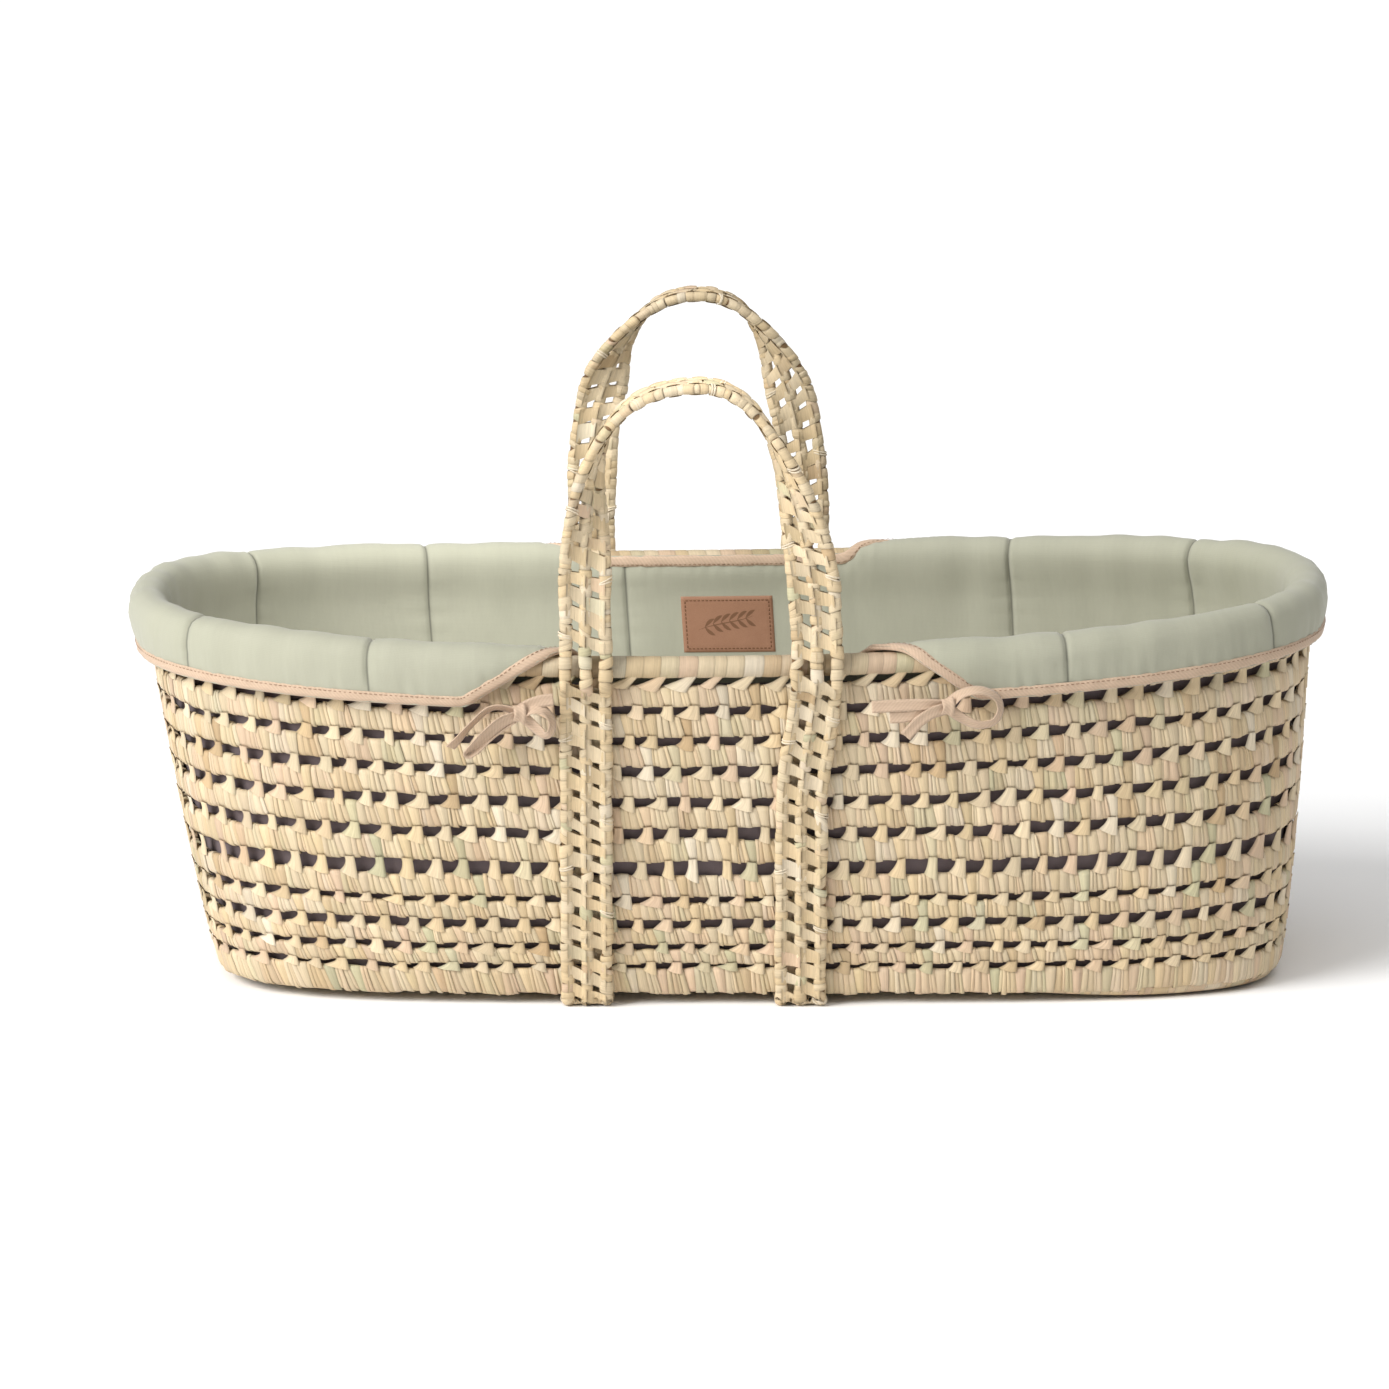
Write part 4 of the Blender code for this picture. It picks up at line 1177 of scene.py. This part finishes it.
def border_stitches(material):
    inset = 0.0030
    w, h = LABEL_W / 2 - inset, LABEL_H / 2 - inset
    corners = np.array([(-w, -h), (w, -h), (w, h), (-w, h), (-w, -h)])
    run = run_along(corners)
    n = int(run[-1] / 0.0030)
    mid = (np.arange(n) + 0.5) * run[-1] / n
    s = mid[:, None] + np.array((-0.0010, -0.0004, 0.0004, 0.0010))
    px, pz = np.interp(s, run, corners[:, 0]), np.interp(s, run, corners[:, 1])
    ahead = np.stack([px[:, -1] - px[:, 0], pz[:, -1] - pz[:, 0]], -1)
    ahead /= np.linalg.norm(ahead, axis=1)[:, None]
    lift = 0.0012 + np.array((0.0001, 0.0005, 0.0005, 0.0001))
    rows = [on_label(px - ahead[:, 1:] * side, pz + ahead[:, :1] * side, lift + 0 * px - drop)
            for side, drop in ((-0.0004, 0.0003), (0.0, 0.0), (0.0004, 0.0003))]
    return piece_of("label_stitches", np.stack(rows, 1), loop_quads(n), material)


def sprig(material):
    """A stem with paired leaves, stamped into the patch."""
    strokes = [((-0.0225, -0.0040), (-0.0085, 0.0012), (0.0055, 0.0008), (0.0190, 0.0060), 0.0004)]
    for k in range(6):
        x = -0.0175 + 0.0062 * k
        z = -0.0020 + 0.0072 * (k / 6) ** 0.6
        for side in (1, -1):
            strokes.append(((x, z), (x + 0.0022, z + side * 0.0032), (x + 0.0048, z + side * 0.0052),
                            (x + 0.0072, z + side * 0.0060), 0.0013))
    verts, quads = [], []
    share = np.linspace(0, 1, 12)[:, None]
    for a, b, c, d, width in strokes:
        a, b, c, d = (np.array(point) for point in (a, b, c, d))
        rest = 1 - share
        line = a * rest ** 3 + 3 * b * share * rest ** 2 + 3 * c * share ** 2 * rest + d * share ** 3
        ahead = np.gradient(line, axis=0)
        ahead /= np.linalg.norm(ahead, axis=1)[:, None]
        half = width * np.sin(math.pi * np.clip(share, 0.04, 0.96)) ** 0.8
        aside = np.stack([-ahead[:, 1], ahead[:, 0]], -1) * half
        grid = np.stack([line + aside, line - aside], 1)
        quads.append(grid_quads(12, 2) + 24 * len(verts))
        verts.append(on_label(grid[..., 0], grid[..., 1], 0.00146).reshape(-1, 3))
    return piece_of("label_sprig", np.concatenate(verts), np.concatenate(quads), material)


# ---------------------------------------------------------------- mattress
def pad_mesh(name, a, b, z0, z1, around=200):
    """Closed oval pad from rings that run from the middle of its underside to the middle of its top."""
    h = z1 - z0
    profile = [(s, 0.0) for s in (0.04, 0.25, 0.5, 0.75, 0.93)] + [(0.985, 0.05 * h), (1.0, 0.30 * h)]
    profile += [(1.0, 0.70 * h), (0.985, 0.95 * h)] + [(s, h) for s in (0.93, 0.75, 0.5, 0.25, 0.04)]
    edge = oval(a, b, MATTRESS_N, around)[:-1]
    rings = [np.stack([edge[:, 0] * s + BASE_SHIFT, edge[:, 1] * s, np.full(around, z0 + z)], -1)
             for s, z in profile]
    quads = grid_quads(len(rings), around, close_cols=True)
    half = around // 2
    i = np.arange(half - 1)
    cap = np.stack([i, around - 1 - i, around - 2 - i, i + 1], -1)
    top = (len(rings) - 1) * around
    return raw_mesh(name, np.concatenate(rings), np.concatenate([quads, cap, top + cap[:, ::-1]]))


def puffed(ob, cap, pressure=4.0):
    """Remeshes a closed pad and lets a short cloth simulation swell it; no point moves more than cap."""
    scene = bpy.context.scene
    bpy.context.view_layer.objects.active = ob
    remesh = ob.modifiers.new("remesh", "REMESH")
    remesh.mode = "VOXEL"
    remesh.voxel_size = 0.006
    apply_modifiers(ob)
    start = points_of(ob.data)
    cloth = ob.modifiers.new("cloth", "CLOTH")
    cloth.settings.use_pressure = True
    cloth.settings.uniform_pressure_force = pressure
    cloth.settings.effector_weights.gravity = 0.0
    cloth.settings.quality = 5
    cloth.settings.tension_stiffness = 15
    cloth.settings.bending_stiffness = 0.5
    for step in range(1, 21):
        scene.frame_set(step)
    apply_modifiers(ob)
    moved = points_of(ob.data) - start
    size = np.linalg.norm(moved, axis=1)
    moved *= (np.minimum(size, cap) / np.maximum(size, 1e-9))[:, None]
    ob.data.vertices.foreach_set("co", (start + moved).astype(np.float32).ravel())
    scene.frame_set(1)


def points_of(mesh):
    co = np.zeros(len(mesh.vertices) * 3, np.float32)
    mesh.vertices.foreach_get("co", co)
    return co.reshape(-1, 3).astype(float)


def apply_modifiers(ob):
    evaluated = ob.evaluated_get(bpy.context.evaluated_depsgraph_get())
    mesh = bpy.data.meshes.new_from_object(evaluated)
    ob.modifiers.clear()
    ob.data = mesh


def mattress(cover):
    """Foam pad in a cotton cover, with a sewn edge round its top and bottom."""
    inset = 0.006
    mesh = pad_mesh("mattress_cover", MATTRESS_A - inset, MATTRESS_B - inset, MATTRESS_Z0 + 0.0005,
                    MATTRESS_Z0 + MATTRESS_H - 0.004)
    pad = link("mattress_cover", mesh, cover)
    puffed(pad, 0.006)
    co = points_of(pad.data)
    co[:, 2] = np.clip(co[:, 2], MATTRESS_Z0 + 0.0004, MATTRESS_Z0 + MATTRESS_H + 0.003)
    pad.data.vertices.foreach_set("co", co.astype(np.float32).ravel())
    smoother = pad.modifiers.new("smooth", "SUBSURF")
    smoother.levels = smoother.render_levels = 1
    apply_modifiers(pad)
    co = points_of(pad.data)
    paint(pad.data, np.ones((len(co), 3)), co)
    pad.data.shade_smooth()
    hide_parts("mattress")
    return pad


def piping(cover):
    """Corded edges of the mattress cover, laid near the top and bottom of its sides."""
    made = []
    edge = oval(MATTRESS_A - 0.0035, MATTRESS_B - 0.0035, MATTRESS_N, 360)[:-1]
    arc = np.linspace(0, 2 * math.pi, 9)[:-1]
    out = PIPING_R * np.cos(arc)[:, None]
    for name, z in (("low", MATTRESS_Z0 + 0.0065), ("high", MATTRESS_Z0 + MATTRESS_H - 0.0075)):
        ring = np.stack([edge[:, 0] + BASE_SHIFT + edge[:, 2] * out, edge[:, 1] + edge[:, 3] * out,
                         z + PIPING_R * np.sin(arc)[:, None] + 0 * edge[:, 0]], -1)
        quads = grid_quads(8, 360, True, True)[:, ::-1]
        made.append(piece_of("mattress_piping_" + name, ring, quads, cover, ring))
    return made


# ---------------------------------------------------------------- studio
CAMERA_AIM = (0.0, 0.0, 0.2)
CAMERA_AWAY = 5.3276
CAMERA_AZIMUTH, CAMERA_ELEVATION = -0.2561, 11.5727
CAMERA_RIGHT, CAMERA_UP = -0.0242, -0.0083
CAMERA_LENS = 190.27
WORLD_LIGHT, KEY_LIGHT, TOP_LIGHT, SIDE_LIGHT, INSIDE_LIGHT = 0.33, 2.95, 0.95, 6.5, 42.0


def camera():
    a, e = math.radians(CAMERA_AZIMUTH), math.radians(CAMERA_ELEVATION)
    back = Vector((math.sin(a) * math.cos(e), -math.cos(a) * math.cos(e), math.sin(e)))
    right = Vector((math.cos(a), math.sin(a), 0.0))
    up = back.cross(right)
    data = bpy.data.cameras.new("camera")
    data.lens = CAMERA_LENS
    data.sensor_width = 36.0
    data.clip_start, data.clip_end = 0.1, 50.0
    cam = bpy.data.objects.new("camera", data)
    cam.location = Vector(CAMERA_AIM) + right * CAMERA_RIGHT + up * CAMERA_UP + back * CAMERA_AWAY
    cam.rotation_mode = "QUATERNION"
    cam.rotation_quaternion = back.to_track_quat("Z", "Y")
    bpy.context.scene.collection.objects.link(cam)
    bpy.context.scene.camera = cam


def floor():
    half = 14.0
    g = Graph("studio_floor", 0.9, 0.1)
    haze = g.noise(g.place(), 3.0)
    g.colour(g.mix(g.ranged(haze, 0.3, 0.7, 0.0, 1.0), (0.985, 0.985, 0.985), (0.97, 0.97, 0.97)))
    corners = [(-half, -half, 0), (half, -half, 0), (half, half, 0), (-half, half, 0)]
    mesh = raw_mesh("studio_floor", np.array(corners, float), np.array([(0, 1, 2, 3)]))
    link("studio_floor", mesh, g.material)


def lamp(name, kind, strength, towards, **settings):
    """A lamp that shines from the direction towards, with its settings; the lamp object is returned."""
    data = bpy.data.lights.new(name, kind)
    data.energy = strength
    for key, value in settings.items():
        setattr(data, key, value)
    made = bpy.data.objects.new(name, data)
    made.rotation_mode = "QUATERNION"
    made.rotation_quaternion = towards.to_track_quat("Z", "Y")
    bpy.context.scene.collection.objects.link(made)
    return made


def sun(name, azimuth, elevation, softness, strength):
    """Distant lamp: azimuth 0 shines from the front, 90 from the head end."""
    a, e = math.radians(azimuth), math.radians(elevation)
    towards = Vector((math.sin(a) * math.cos(e), -math.cos(a) * math.cos(e), math.sin(e)))
    lamp(name, "SUN", strength, towards, angle=math.radians(softness))


def lights():
    world = bpy.data.worlds.new("studio")
    world.use_nodes = True
    background = world.node_tree.nodes["Background"]
    background.inputs["Color"].default_value = (1.0, 1.0, 1.0, 1)
    background.inputs["Strength"].default_value = WORLD_LIGHT
    bpy.context.scene.world = world
    sun("key", -55, 34, 36, KEY_LIGHT)
    sun("top", 20, 78, 60, TOP_LIGHT)
    beside, above = Vector((-1.30, -0.95, 0.80)), Vector((0.25, -0.50, 0.95))
    lamp("side", "AREA", SIDE_LIGHT, beside - Vector((-0.15, 0.0, 0.15)), size=0.9).location = beside
    lamp("inside", "SPOT", INSIDE_LIGHT, above - Vector((-0.27, 0.18, 0.20)), spot_size=math.radians(26),
         spot_blend=1.0, shadow_soft_size=0.10).location = above
    bpy.context.scene.view_settings.view_transform = "Standard"


# ---------------------------------------------------------------- build
def build():
    leaf = palm_leaf()
    sage = cotton("sage_cotton", linear(165, 164, 146), linear(158, 158, 139))
    backing = cotton("liner_backing", linear(118, 106, 108), linear(104, 94, 97), 0.0009, 0.1)
    tape = tape_cloth("blush_tape", linear(196, 171, 147), linear(185, 160, 137))
    tan = leather("tan_patch", linear(157, 116, 90), linear(141, 101, 76))
    stamp = leather("stamped_leather", linear(120, 84, 58), linear(104, 72, 50))
    dark_thread = thread("patch_thread", linear(112, 76, 50), linear(98, 66, 44))
    tape_thread = thread("tape_thread", linear(150, 122, 98), linear(138, 110, 88))
    cover = cotton("mattress_cover", linear(212, 208, 195), linear(202, 197, 183), 0.0008)

    on_basket = wall_rows(leaf) + [rim_wraps(leaf), base_rings(leaf)]
    for piece in on_basket:
        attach(piece, "basket")
    for piece in straps(leaf) + handles(leaf):
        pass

    cotton_liner, liner_back = liner_pieces(sage, backing)
    for piece in (cotton_liner, liner_back):
        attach(piece, "basket")
    for piece in binding(tape, tape_thread):
        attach(piece, "basket")
    for sign in (-1, 1):
        for side in ("left", "right"):
            piece = bow(side, sign, tape)
            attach(piece, "basket")
    for piece in label(tan, dark_thread, stamp):
        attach(piece, "basket")

    pad = mattress(cover)
    for piece in [pad] + piping(cover):
        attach(piece, "mattress")


camera()
floor()
lights()
build()
